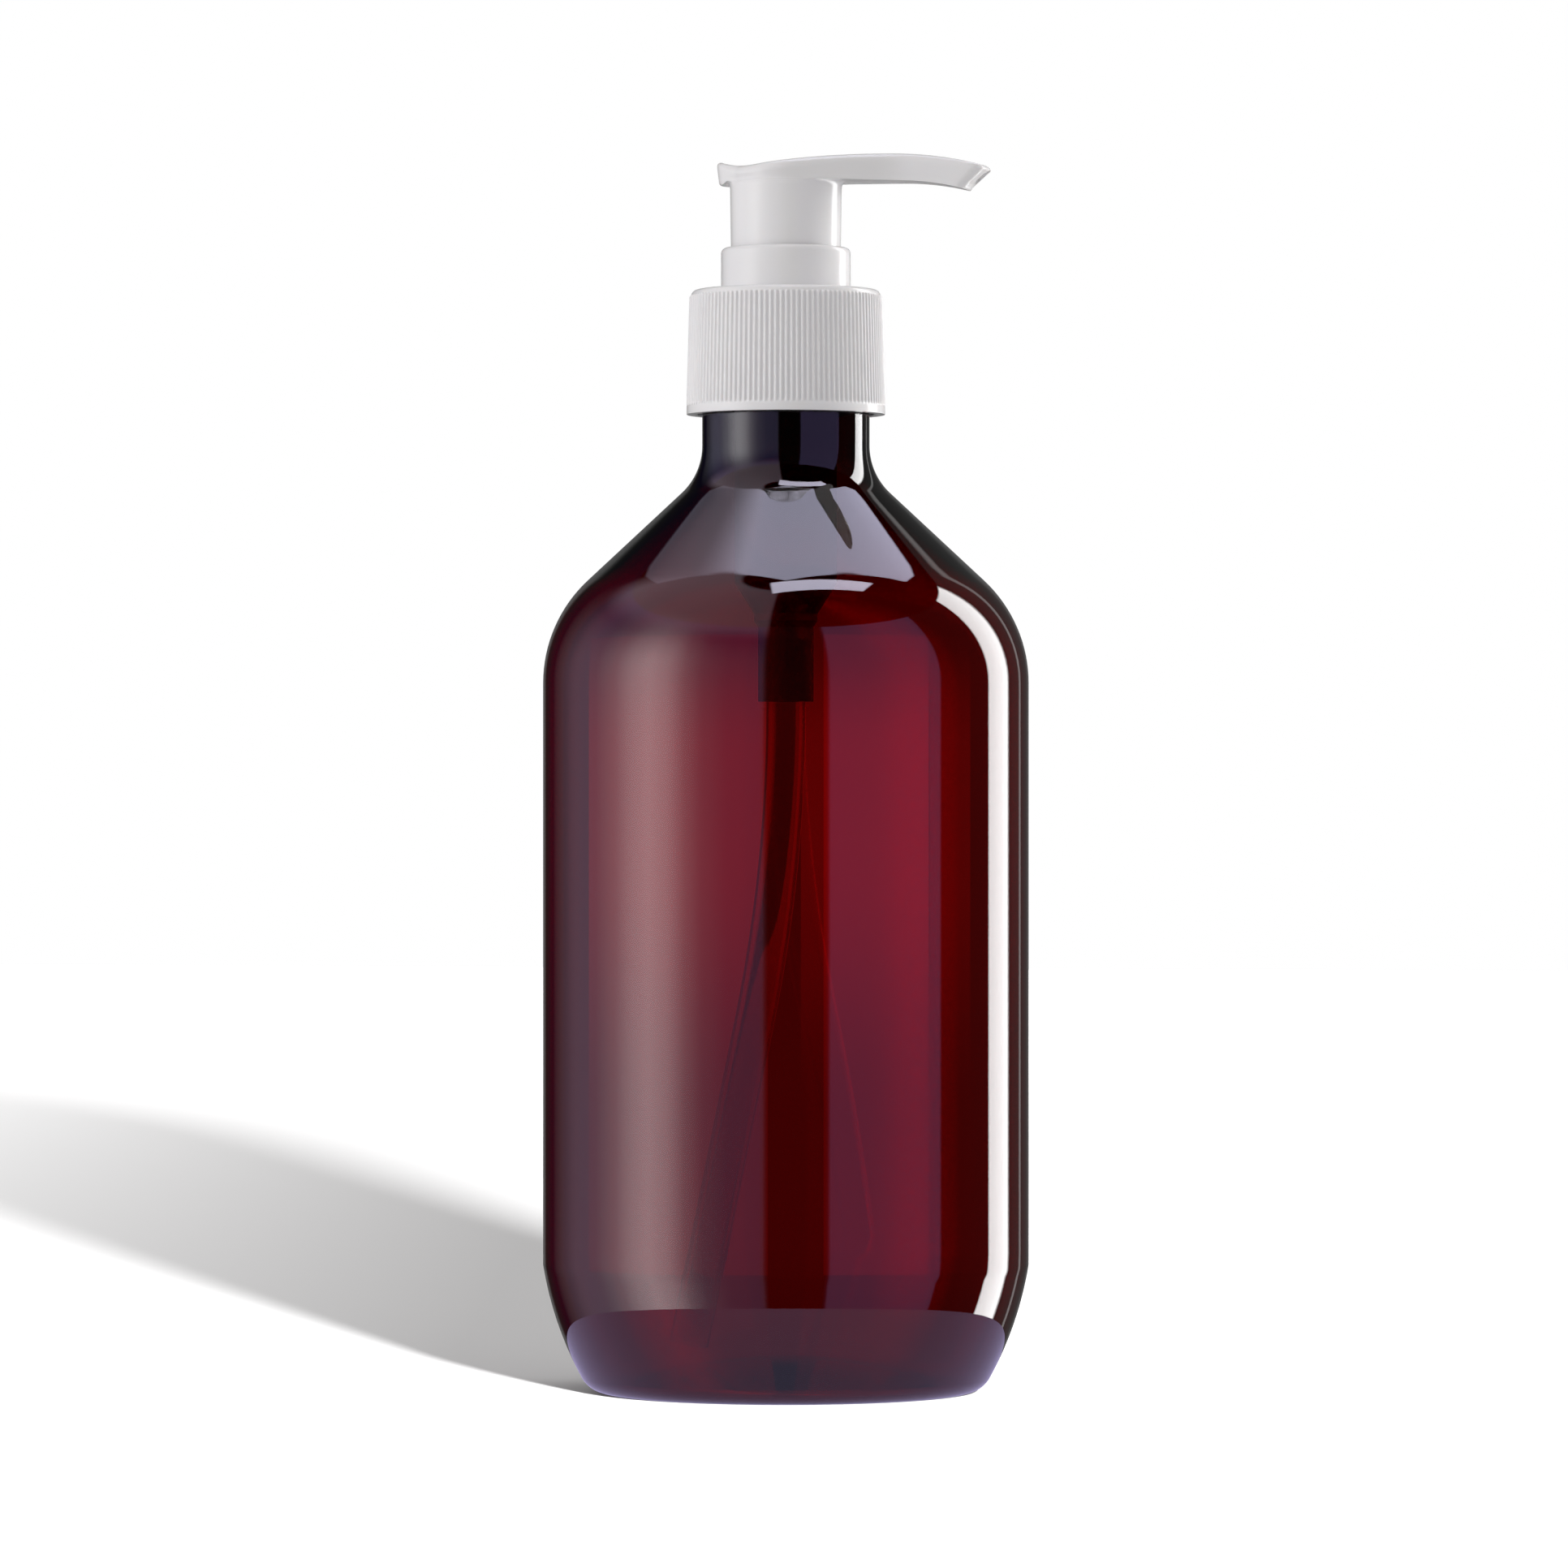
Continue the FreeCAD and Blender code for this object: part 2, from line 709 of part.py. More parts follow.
def is_flat(edge):
    """Whether an edge stays at one height."""
    return edge.BoundBox.ZLength < SAME_PLACE


def is_top_edge(shape, edge):
    """Whether an edge lies between the top surface and a wall."""
    rises = []
    for face in shape.ancestorsOfType(edge, Part.Face):
        first_across, last_across, first_along, last_along = face.ParameterRange
        normal = face.normalAt((first_across + last_across) / 2, (first_along + last_along) / 2)
        rises.append(normal.z)
    return max(rises) > 0.75 and min(rises) < 0.5


def round_edges(body, radius, name, chosen):
    """Fillet the edges of the body so far that the test picks."""
    doc.recompute()
    base = body.Tip
    picked = [f"Edge{index}" for index, edge in enumerate(base.Shape.Edges, start=1)
              if chosen(base.Shape, edge)]
    feature = body.newObject("PartDesign::Fillet", f"{body.Label}_{name}")
    feature.Base = (base, picked)
    feature.setExpression("Radius", sized(radius))
    body.Tip = feature
    return feature


def make_actuator_head():
    """The head: a saddle-topped plate and drooping spout over a hollow skirt, with two lock fins."""
    body = new_body("actuator_head")

    # plan of the plate: a small circle for the heel, a large one for the middle, and the spout
    heel_centre = "(heel_reach - heel_half_width)"
    meet = f"((skirt_top_radius^2 - heel_half_width^2 + {heel_centre}^2) / (2 * {heel_centre}))"
    meet_side = f"sqrt(skirt_top_radius^2 - {meet}^2)"
    flank = ("skirt_top_radius * cos(flank_angle)", "skirt_top_radius * sin(flank_angle)")
    blank_end = "spout_tip + overcut"
    slope = "(90 - flank_angle)"
    root_end = "spout_root + spout_root_blend"
    root_curve = f"spout_root_blend / tan({slope} / 2)"
    root_start = f"spout_root - spout_root_blend * cos{slope}"
    root_side = f"spout_half_width + spout_root_blend * sin{slope}"
    plan = attached_sketch(body, "plan", "XY_Plane", lift="head_underside")
    draw_path(plan, [
        (f"-{meet}", f"-{meet_side}", "heel_half_width", "left"),
        (flank[0], f"-({flank[1]})", "skirt_top_radius", "left"),
        (root_start, f"-({root_side})"),
        (root_end, "-spout_half_width", root_curve, "right"),
        (blank_end, "-spout_half_width"),
        (blank_end, "spout_half_width"),
        (root_end, "spout_half_width"),
        (root_start, root_side, root_curve, "right"),
        flank,
        (f"-{meet}", meet_side, "skirt_top_radius", "left"),
    ])
    extrude(body, plan, "head_blank", "blank")

    # side view: what is cut away above, in front and below
    above = "crest_height + 3 * overcut"
    below = "head_underside - head_blank"
    behind = "-heel_reach - 2 * overcut"
    ahead = "spout_tip + 4 * overcut"
    lip_drop = "(heel_lip_height - saddle_height)"
    lip_run = "(saddle_place - heel_lip_place)"
    rise = "(crest_height - saddle_height)"
    run = "(crest_place - saddle_place)"
    curves = f"(({run}^2 + {rise}^2) / (2 * {rise}))"
    tip_drop = "(crest_height - spout_tip_height)"
    tip_run = "(spout_tip - crest_place)"
    tip_bottom = "spout_underside - spout_droop"
    cut_slope = f"((spout_tip - spout_reach) / (spout_tip_height - ({tip_bottom})))"
    top_waste = outline(body, "top_waste", [
        ("heel_lip_place", above),
        ("heel_lip_place", "heel_lip_height"),
        ("saddle_place", "saddle_height", f"({lip_run}^2 + {lip_drop}^2) / (2 * {lip_drop})", "left"),
        (f"saddle_place + {run} * saddle_curve / {curves}",
         f"saddle_height + {rise} * saddle_curve / {curves}", "saddle_curve", "left"),
        ("crest_place", "crest_height", f"{curves} - saddle_curve", "right"),
        ("spout_tip", "spout_tip_height", f"({tip_run}^2 + {tip_drop}^2) / (2 * {tip_drop})", "right"),
        (f"spout_reach - {cut_slope} * ({tip_bottom} - ({below}))", below),
        (ahead, below),
        (ahead, above),
    ])
    extrude(body, top_waste, "4 * skirt_top_radius", "top_cut", kind="Pocket")
    droop_run = "(spout_reach + overcut - spout_bend)"
    droop = f"(spout_droop * {droop_run}^2 / (spout_reach - spout_bend)^2)"
    bottom_waste = outline(body, "bottom_waste", [
        (behind, below),
        (behind, "head_underside"),
        ("skirt_top_radius", "head_underside"),
        ("spout_bend", "spout_underside"),
        ("spout_reach + overcut", f"spout_underside - {droop}",
         f"({droop_run}^2 + {droop}^2) / (2 * {droop})", "right"),
        ("spout_reach + overcut", below),
    ])
    extrude(body, bottom_waste, "4 * skirt_top_radius", "bottom_cut", kind="Pocket")

    # rounding: the inner corners beside the heel, the corners of the spout's end, the rim of the top
    round_edges(body, "heel_corner_round", "heel_corners",
                lambda shape, edge: ends_at(edge, -value(meet), value(meet_side)) and is_upright(edge))
    round_edges(body, "tip_round", "tip_corners",
                lambda shape, edge: edge.BoundBox.XMin > value("spout_reach") - SAME_PLACE
                and not is_flat(edge))
    round_edges(body, "head_round", "top_rim", is_top_edge)

    # hollow skirt with the stem's socket inside it
    turn(body, [
        ("0", "skirt_bottom"),
        ("skirt_bottom_radius", "skirt_bottom"),
        ("skirt_top_radius", "head_underside"),
        ("0", "head_underside"),
    ], name="skirt")
    turn(body, [
        ("0", "skirt_bottom - overcut"),
        ("skirt_bore", "skirt_bottom - overcut"),
        ("skirt_bore", "skirt_roof"),
        ("stem_socket_radius", "skirt_roof"),
        ("stem_socket_radius", "stem_socket_bottom"),
        ("0", "stem_socket_bottom"),
    ], name="hollow", kind="Groove")
    turn(body, [
        ("0", "stem_socket_bottom - overcut"),
        ("stem_radius + press_gap", "stem_socket_bottom - overcut"),
        ("stem_radius + press_gap", "stem_top"),
        ("channel_radius", "stem_top"),
        ("channel_radius", "channel_height"),
        ("0", "channel_height"),
    ], name="stem_bore", kind="Groove")
    fin = outline(body, "fin_section", [
        ("stem_socket_radius - bury", "fin_bottom"),
        ("fin_outer", "fin_bottom"),
        ("fin_outer", "skirt_roof + bury"),
        ("stem_socket_radius - bury", "skirt_roof + bury"),
    ])
    fin_pad = extrude(body, fin, "fin_thickness", "fin")
    repeat(body, fin_pad, "2", "fins")

    # arched channel from the stem out through the spout's end
    mouth = bored_circle(attached_sketch(body, "channel_section", "YZ_Plane"), "0", "channel_height",
                         "channel_radius")
    arch = attached_sketch(body, "channel_arch", "XZ_Plane")
    draw_path(arch, [
        ("0", "channel_height"),
        ("spout_tip + overcut", "channel_end_height", "channel_curve", "right"),
    ], closed=False)
    channel = body.newObject("PartDesign::SubtractivePipe", "actuator_head_channel")
    channel.Profile = mouth
    channel.Spine = (arch, [])
    body.Tip = channel
    return body


def make_dip_tube():
    """A tube that leaves the housing's socket straight, bends to one side and ends above the base."""
    body = new_body("dip_tube")
    section = attached_sketch(body, "section", "XY_Plane", lift="tube_stop")
    bored_circle(section, "0", "0", "tube_radius")
    bored_circle(section, "0", "0", "tube_radius - tube_wall")
    bend_across = "-(tube_bend_curve * (1 - cos(tube_bend_angle)))"
    bend_up = "tube_bend_start - tube_bend_curve * sin(tube_bend_angle)"
    path = attached_sketch(body, "path", "XZ_Plane")
    draw_path(path, [
        ("0", "tube_stop"),
        ("0", "tube_bend_start"),
        (bend_across, bend_up, "tube_bend_curve", "right"),
        (f"{bend_across} - tube_tail * sin(tube_bend_angle)",
         f"{bend_up} - tube_tail * cos(tube_bend_angle)"),
    ], closed=False)
    pipe = body.newObject("PartDesign::AdditivePipe", "dip_tube_pipe")
    pipe.Profile = section
    pipe.Spine = (path, [])
    body.Tip = pipe
    return body


PARTS = [
    make_bottle(),
    make_closure(),
    make_neck_gasket(),
    make_pump_housing(),
    make_lock_collar(),
    make_stem_seal(),
    make_ball_retainer(),
    make_spring(),
    make_ball("inlet_ball", "inlet_ball_radius",
              seated_height("inlet_ball_radius", "inlet_seat", "seat_rise", "inlet_bore", "inlet_chamber")),
    make_ball("outlet_ball", "outlet_ball_radius",
              seated_height("outlet_ball_radius", "outlet_seat", "outlet_seat_rise", "stem_bore",
                            "outlet_chamber")),
    make_piston(),
    make_piston_core(),
    make_stem(),
    make_actuator_head(),
    make_dip_tube(),
]

doc.recompute()
for item in doc.Objects:
    if "Invalid" in item.State or "Error" in item.State:
        raise RuntimeError(f"{item.Name} failed: {item.State}")
for part in PARTS:
    if part.Shape.isNull() or not part.Shape.isValid() or len(part.Shape.Solids) != 1:
        raise RuntimeError(f"{part.Label} is not one valid solid")

os.makedirs("parts", exist_ok=True)
for part in PARTS:
    part.Shape.exportStep(f"parts/{part.Label}.step")
    box = part.Shape.optimalBoundingBox()
    print(f"{part.Label}: {part.Shape.Volume:.1f} mm3, z {box.ZMin:.2f} to {box.ZMax:.2f}")
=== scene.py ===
import math

import bpy
import numpy as np
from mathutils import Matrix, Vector


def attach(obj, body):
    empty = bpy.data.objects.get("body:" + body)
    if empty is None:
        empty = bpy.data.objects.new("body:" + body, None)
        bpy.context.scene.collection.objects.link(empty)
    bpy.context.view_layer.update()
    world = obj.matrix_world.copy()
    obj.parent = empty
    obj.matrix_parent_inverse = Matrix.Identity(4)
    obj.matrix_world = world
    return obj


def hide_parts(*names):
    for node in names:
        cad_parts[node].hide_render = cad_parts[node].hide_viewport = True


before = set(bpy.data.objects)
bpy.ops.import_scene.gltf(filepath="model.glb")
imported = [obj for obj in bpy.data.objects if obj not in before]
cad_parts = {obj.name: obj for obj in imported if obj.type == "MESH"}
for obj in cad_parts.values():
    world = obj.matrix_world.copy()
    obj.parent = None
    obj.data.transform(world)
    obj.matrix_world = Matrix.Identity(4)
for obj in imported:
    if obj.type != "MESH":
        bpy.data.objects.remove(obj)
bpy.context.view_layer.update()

# A lotion pump on a clear red bottle.  The shapes are worked out in millimetres and built in metres.
MM = 0.001

# the camera: how far round from the front it stands, how far from the bottle's axis, and its framing
CAMERA_AZIMUTH = math.radians(12.0)
CAMERA_DISTANCE = 1.220
CAMERA_HEIGHT = 0.0895
CAMERA_LENS = 178.9
CAMERA_SENSOR = 36
CAMERA_SHIFT = (-0.0012, 0.0228)
TO_CAMERA = (math.sin(CAMERA_AZIMUTH), -math.cos(CAMERA_AZIMUTH), 0.0)
TO_RIGHT = (math.cos(CAMERA_AZIMUTH), math.sin(CAMERA_AZIMUTH), 0.0)


# ---------------------------------------------------------------- sections

MOST_OF_SIDE = 0.45    # the largest share of a side that a rounded corner takes


def arc_points(start, end, radius, side, turn_step=5.0, longest=1.2):
    """Points after start, up to end, on the short arc whose centre is to the left or right of the way."""
    start = np.array(start, float)
    end = np.array(end, float)
    along = end - start
    length = np.hypot(*along)
    rise = math.sqrt(max(radius * radius - length * length / 4, 0.0))
    across = np.array([-along[1], along[0]]) / length
    centre = (start + end) / 2 + across * (rise if side == "left" else -rise)
    first = math.atan2(start[1] - centre[1], start[0] - centre[0])
    last = math.atan2(end[1] - centre[1], end[0] - centre[0])
    sweep = (last - first + math.pi) % (2 * math.pi) - math.pi
    by_turn = math.ceil(abs(math.degrees(sweep)) / turn_step)
    by_length = math.ceil(abs(sweep) * radius / longest)
    count = max(2, by_turn, by_length)
    angles = first + sweep * np.arange(1, count + 1) / count
    return [(centre[0] + radius * math.cos(a), centre[1] + radius * math.sin(a)) for a in angles]


def soften(points, reach, least_turn=20.0, pieces=4):
    """Round off a polyline's sharp corners with short curves that start within reach of each corner."""
    points = [np.array(p, float) for p in points]
    count = len(points)
    result = []
    for index, here in enumerate(points):
        if index in (0, count - 1):
            result.append(here)
            continue
        before = points[index - 1]
        after = points[index + 1]
        coming = here - before
        going = after - here
        coming_length = np.hypot(*coming)
        going_length = np.hypot(*going)
        cosine = np.dot(coming, going) / (coming_length * going_length)
        if math.degrees(math.acos(max(-1.0, min(1.0, cosine)))) < least_turn:
            result.append(here)
            continue
        back = min(reach, MOST_OF_SIDE * coming_length, MOST_OF_SIDE * going_length)
        first = here - coming / coming_length * back
        last = here + going / going_length * back
        for step in range(pieces + 1):
            t = step / pieces
            result.append((1 - t) ** 2 * first + 2 * t * (1 - t) * here + t * t * last)
    return result


def profile(corners, edge=0.15, step=2.5, turn_step=5.0):
    """Points along a section of lines and arcs, its sharp corners rounded and its long lines divided."""
    keys = [corners[0][:2]]
    for before, here in zip(corners, corners[1:]):
        if len(here) == 4:
            keys += arc_points(before[:2], here[:2], here[2], here[3], turn_step)
        else:
            keys.append(here[:2])
    keys = soften(keys, edge)
    result = [keys[0]]
    for here in keys[1:]:
        before = result[-1]
        pieces = max(1, math.ceil(np.hypot(*(here - before)) / step))
        result += [before + (here - before) * k / pieces for k in range(1, pieces + 1)]
    return np.array(result)


# ---------------------------------------------------------------- meshes

def new_object(name, vertices, faces, sharp=35.0):
    """A smooth-shaded mesh object from points in millimetres, with edges sharper than the angle kept."""
    mesh = bpy.data.meshes.new(name)
    mesh.from_pydata([tuple(v) for v in np.asarray(vertices) * MM], [], faces)
    mesh.validate()
    mesh.shade_smooth()
    mesh.set_sharp_from_angle(angle=math.radians(sharp))
    thing = bpy.data.objects.new(name, mesh)
    bpy.context.scene.collection.objects.link(thing)
    return thing


def grid_faces(rows, wrap):
    """Faces between neighbouring rows of vertex numbers.  A row of one number is a pole."""
    faces = []
    pairs = list(zip(rows, rows[1:])) + ([(rows[-1], rows[0])] if wrap else [])
    for lower, upper in pairs:
        if len(lower) == 1 and len(upper) == 1:
            continue
        if len(lower) == 1:
            faces += [(lower[0], upper[(j + 1) % len(upper)], upper[j]) for j in range(len(upper))]
        elif len(upper) == 1:
            faces += [(lower[j], lower[(j + 1) % len(lower)], upper[0]) for j in range(len(lower))]
        elif len(lower) == len(upper):
            count = len(lower)
            faces += [(lower[j], lower[(j + 1) % count], upper[(j + 1) % count], upper[j])
                      for j in range(count)]
        else:
            faces += joined_rings(lower, upper)
    return faces


def joined_rings(lower, upper):
    """Faces between two rings when one has a whole number of times as many vertices as the other."""
    faces = []
    few = min(len(lower), len(upper))
    times = max(len(lower), len(upper)) // few
    for j in range(few):
        after = (j + 1) % few
        if len(lower) > len(upper):
            many = [lower[(j * times + k) % len(lower)] for k in range(times + 1)]
            faces.append((*many, upper[after], upper[j]))
        else:
            many = [upper[(j * times + k) % len(upper)] for k in range(times, -1, -1)]
            faces.append((lower[j], lower[after], *many))
    return faces


def rows_object(name, rows, wrap=False, sharp=35.0):
    """An object from rows of points, each row a ring or a single pole."""
    vertices = []
    numbers = []
    for row in rows:
        row = np.asarray(row, float).reshape(-1, 3)
        numbers.append(list(range(len(vertices), len(vertices) + len(row))))
        vertices.extend(row)
    return new_object(name, vertices, grid_faces(numbers, wrap), sharp)


def ring(radius, height, angles):
    """A ring of points; the radius may differ from angle to angle."""
    if np.ndim(radius) == 0 and radius < 1e-6:
        return np.array([[0.0, 0.0, height]])
    radius = np.broadcast_to(radius, angles.shape)
    heights = np.full(angles.shape, height)
    return np.stack([radius * np.cos(angles), radius * np.sin(angles), heights], axis=1)


def all_round(segments):
    """Equal steps round a full turn, in radians."""
    return np.arange(segments) * 2 * math.pi / segments


def smooth(value):
    """An eased step from 0 to 1."""
    t = np.clip(value, 0.0, 1.0)
    return t * t * (3 - 2 * t)


# ---------------------------------------------------------------- the screw thread

THREAD_PITCH = 4.233
THREAD_TURNS = 1.5
THREAD_START = 159.6
THREAD_HALF_ROOT = 1.0
THREAD_HALF_CREST = 0.5
THREAD_LEAD = 8.0


def thread_rise(height, angles, start):
    """How far the thread's ridge stands up, 0 to 1, at a height and at each angle round the neck."""
    rise = np.zeros(angles.shape)
    for turn in range(math.ceil(THREAD_TURNS)):
        travel = angles / (2 * math.pi) + turn
        middle = start + THREAD_PITCH * travel
        flank = (THREAD_HALF_ROOT - np.abs(height - middle)) / (THREAD_HALF_ROOT - THREAD_HALF_CREST)
        lead = np.clip(np.minimum(travel, THREAD_TURNS - travel) * THREAD_LEAD, 0.0, 1.0)
        rise = np.maximum(rise, smooth(flank) * smooth(lead))
    return rise


# ---------------------------------------------------------------- bottle

BODY_RADIUS = 38.0
SHOULDER_HEIGHT = 110.9
SHOULDER_RADIUS = 21.9
HEEL_HEIGHT = 19.9
CONE = math.radians(47.0)
NECK_RADIUS = 13.1
NECK_FILLET = 10.2
THREAD_FLOOR = 155.0
THREAD_ROOT = 12.5
THREAD_CREST = 13.65
LIP_HEIGHT = 168.9
MOUTH_RADIUS = 10.75
BODY_WALL = 0.75
SHOULDER_WALL = 0.93
LIP_BEVEL = 0.5
BOTTLE_SEGMENTS = 288


def make_bottle():
    """A blown bottle with real walls: base, tapered heel, straight body, conical shoulder, threaded neck."""
    cone_top_radius = NECK_RADIUS + NECK_FILLET * (1 - math.cos(CONE))
    cone_foot_radius = BODY_RADIUS - SHOULDER_RADIUS * (1 - math.cos(CONE))
    cone_foot = SHOULDER_HEIGHT + SHOULDER_RADIUS * math.sin(CONE)
    cone_top = cone_foot + (cone_foot_radius - cone_top_radius) / math.tan(CONE)
    base_rise, foot_inner, foot_outer = 3.5, 26.3, 28.1
    heel_radius, heel_curve, heel_angle = 4.4, 55.0, math.radians(27.0)
    heel_wall, base_wall = 1.0, 1.7
    mouth_depth, mouth_fillet = 19.4, 13.9
    inner_radius = BODY_RADIUS - BODY_WALL
    inner_shoulder = SHOULDER_RADIUS - BODY_WALL
    inner_heel = heel_radius - heel_wall
    push_up = base_rise + base_wall - heel_wall
    outside = profile([
        (0, base_rise),
        (foot_inner, 0, (foot_inner ** 2 + base_rise ** 2) / (2 * base_rise), "right"),
        (foot_outer, 0),
        (foot_outer + heel_radius * math.cos(heel_angle), heel_radius * (1 - math.sin(heel_angle)),
         heel_radius, "left"),
        (BODY_RADIUS, HEEL_HEIGHT, heel_curve, "left"),
        (BODY_RADIUS, SHOULDER_HEIGHT),
        (cone_foot_radius, cone_foot, SHOULDER_RADIUS, "left"),
        (cone_top_radius, cone_top),
        (NECK_RADIUS, cone_top + NECK_FILLET * math.sin(CONE), NECK_FILLET, "right"),
        (NECK_RADIUS, THREAD_FLOOR - 0.6),
        (THREAD_ROOT, THREAD_FLOOR),
    ], edge=0.4, turn_step=3.0)
    thread_ends = [(THREAD_ROOT, THREAD_FLOOR), (THREAD_ROOT, LIP_HEIGHT - LIP_BEVEL)]
    thread_zone = profile(thread_ends, step=0.25)[1:]
    mouth_end_radius = MOUTH_RADIUS + mouth_fillet * (1 - math.cos(CONE))
    mouth_end = LIP_HEIGHT - mouth_depth - mouth_fillet * math.sin(CONE)
    inside = profile([
        (THREAD_ROOT, LIP_HEIGHT - LIP_BEVEL),
        (THREAD_ROOT - LIP_BEVEL, LIP_HEIGHT),
        (MOUTH_RADIUS, LIP_HEIGHT),
        (MOUTH_RADIUS, LIP_HEIGHT - mouth_depth),
        (mouth_end_radius, mouth_end, mouth_fillet, "left"),
        (inner_radius - inner_shoulder * (1 - math.cos(CONE)) + BODY_WALL - SHOULDER_WALL,
         SHOULDER_HEIGHT + inner_shoulder * math.sin(CONE)),
        (inner_radius, SHOULDER_HEIGHT, inner_shoulder, "right"),
        (inner_radius, HEEL_HEIGHT + 0.3),
        (foot_outer + inner_heel * math.cos(heel_angle), heel_radius - inner_heel * math.sin(heel_angle),
         heel_curve - heel_wall, "right"),
        (foot_outer, heel_wall, inner_heel, "right"),
        (foot_inner, heel_wall),
        (0, base_rise + base_wall, (foot_inner ** 2 + push_up ** 2) / (2 * push_up), "left"),
    ], edge=0.25, turn_step=3.0)[1:]
    angles = all_round(BOTTLE_SEGMENTS)
    rows = [ring(radius, height, angles) for radius, height in outside]
    for radius, height in thread_zone:
        rise = thread_rise(height, angles, THREAD_START)
        rows.append(ring(radius + (THREAD_CREST - THREAD_ROOT) * rise, height, angles))
    rows += [ring(radius, height, angles) for radius, height in inside]
    return rows_object("bottle_wall", rows, sharp=60.0)


# ---------------------------------------------------------------- closure

RIBS = 114
SAMPLES_PER_RIB = 8
RIB_PROFILE = np.array([0.0, 0.12, 0.8, 1.0, 1.0, 0.8, 0.12, 0.0])    # a rib's rise across its width
CLOSURE_BOTTOM = 152.9
CLOSURE_TOP = 172.4
CLOSURE_BORE = 13.85
CLOSURE_HOLE = 9.6


def make_closure():
    """A screw cap with 114 moulded ribs, a bead at its foot, a rounded top edge and a thread inside."""
    angles = all_round(RIBS * SAMPLES_PER_RIB)
    inner_angles = all_round(RIBS * SAMPLES_PER_RIB // 4)
    ribs = np.tile(RIB_PROFILE, RIBS)
    bead_radius, bead_height, rise = 15.55, 1.7, 0.27
    bottom_radius, top_radius, top_round, roof = 15.3, 14.85, 1.0, 1.3

    rows = [ring(bead_radius - 0.22, CLOSURE_BOTTOM, angles)]
    for radius, height in soften([(bead_radius - 0.2, CLOSURE_BOTTOM), (bead_radius, CLOSURE_BOTTOM),
                                  (bead_radius, CLOSURE_BOTTOM + 1)], 0.2)[1:-1]:
        rows.append(ring(radius, height, angles))
    foot = CLOSURE_BOTTOM + bead_height
    # over the bead and up to the ribs: radius, the ribs' rise there, and how far below their foot
    for radius, rib_rise, drop in ((bead_radius, 0.0, 0.62), (bead_radius - 0.02, 0.0, 0.42),
                                   (bottom_radius + 0.14, 0.08, 0.24),
                                   (bottom_radius + 0.05, rise - 0.08, 0.08)):
        rows.append(ring(radius + rib_rise * ribs, foot - drop, angles))
    rib_top = CLOSURE_TOP - top_round
    run_out = rib_top - 0.25
    for share in (0.01, 0.03, 0.25, 0.5, 0.75, 0.97, 1.0):
        height = foot + (run_out - foot) * share
        radius = bottom_radius + (top_radius - bottom_radius) * share
        rows.append(ring(radius + rise * ribs, height, angles))
    for lift, shrink in ((0.12, 0.93), (0.22, 0.72), (0.32, 0.38), (0.42, 0.0)):
        rows.append(ring(top_radius - 0.012 * lift + rise * shrink * ribs, run_out + lift, angles))
    edge_steps = 8
    for turn in range(1, edge_steps + 1):
        angle = math.radians(90 * turn / edge_steps)
        rows.append(ring(top_radius - top_round * (1 - math.cos(angle)),
                         rib_top + top_round * math.sin(angle), angles))
    rows.append(ring(top_radius - top_round - 0.4, CLOSURE_TOP, angles))

    rows.append(ring(CLOSURE_HOLE + 0.6, CLOSURE_TOP, inner_angles))
    for radius, height in soften([(CLOSURE_HOLE + 0.6, CLOSURE_TOP), (CLOSURE_HOLE, CLOSURE_TOP),
                                  (CLOSURE_HOLE, CLOSURE_TOP - roof), (CLOSURE_BORE, CLOSURE_TOP - roof),
                                  (CLOSURE_BORE, CLOSURE_TOP - roof - 1)], 0.12)[1:-1]:
        rows.append(ring(radius, height, inner_angles))
    depth, thread_step = 1.15, 0.28
    for height in np.arange(CLOSURE_TOP - roof - 0.4, CLOSURE_BOTTOM + 0.5, -thread_step):
        rises = thread_rise(height, inner_angles, THREAD_START - THREAD_PITCH / 2)
        rows.append(ring(CLOSURE_BORE - depth * rises, height, inner_angles))
    rows.append(ring(CLOSURE_BORE, CLOSURE_BOTTOM + 0.15, inner_angles))
    rows.append(ring(CLOSURE_BORE + 0.15, CLOSURE_BOTTOM, inner_angles))
    rows.append(ring(CLOSURE_BORE + 0.5, CLOSURE_BOTTOM, inner_angles))
    return rows_object("closure_cap", rows, wrap=True, sharp=50.0)


# ---------------------------------------------------------------- actuator head

SKIRT_BOTTOM = 177.3
SKIRT_BOTTOM_RADIUS = 8.58
SKIRT_TOP_RADIUS = 8.75
SKIRT_BORE = 7.5
SKIRT_ROOF = 188.5
UNDERSIDE = 189.3
HEEL_CENTRE = -5.7
HEEL_ROUND = 5.2
HEEL_CORNER = 2.5
FLANK_ANGLE = math.radians(73.0)
SPOUT_HALF = 3.8
SPOUT_ROOT = 17.9
ROOT_BLEND = 2.2
SPOUT_TIP = 32.5
SPOUT_REACH = 29.9
TIP_ROUND = 2.0
END_BULGE = 0.3
WALL_DRAFT = 0.3
HEEL_DROP = 0.45
ROOT_DROP = 0.25
SADDLE_HEIGHT = 191.7
SADDLE_END = -3.17
CREST = 17.0
CREST_HEIGHT = 193.3
DROOP_START = 18.0
TIP_START = 25.0
SOCKET_ROOF = 190.4
SOCKET_RADIUS = 4.02
CHANNEL_RADIUS = 1.3
FLARE = 0.9
LOWER_ROUNDING = 0.45
RIM = 1.25
TIP_THINNING = 0.65
HEEL_THINNING = 0.35
HEEL_START = 6.5
HEEL_RUN = 3.5
HEEL_LIP_CURVE = 12.8
SADDLE_CURVE = 18.0
BACK_CURVE = 143.8
DROOP_CURVE = 55.7


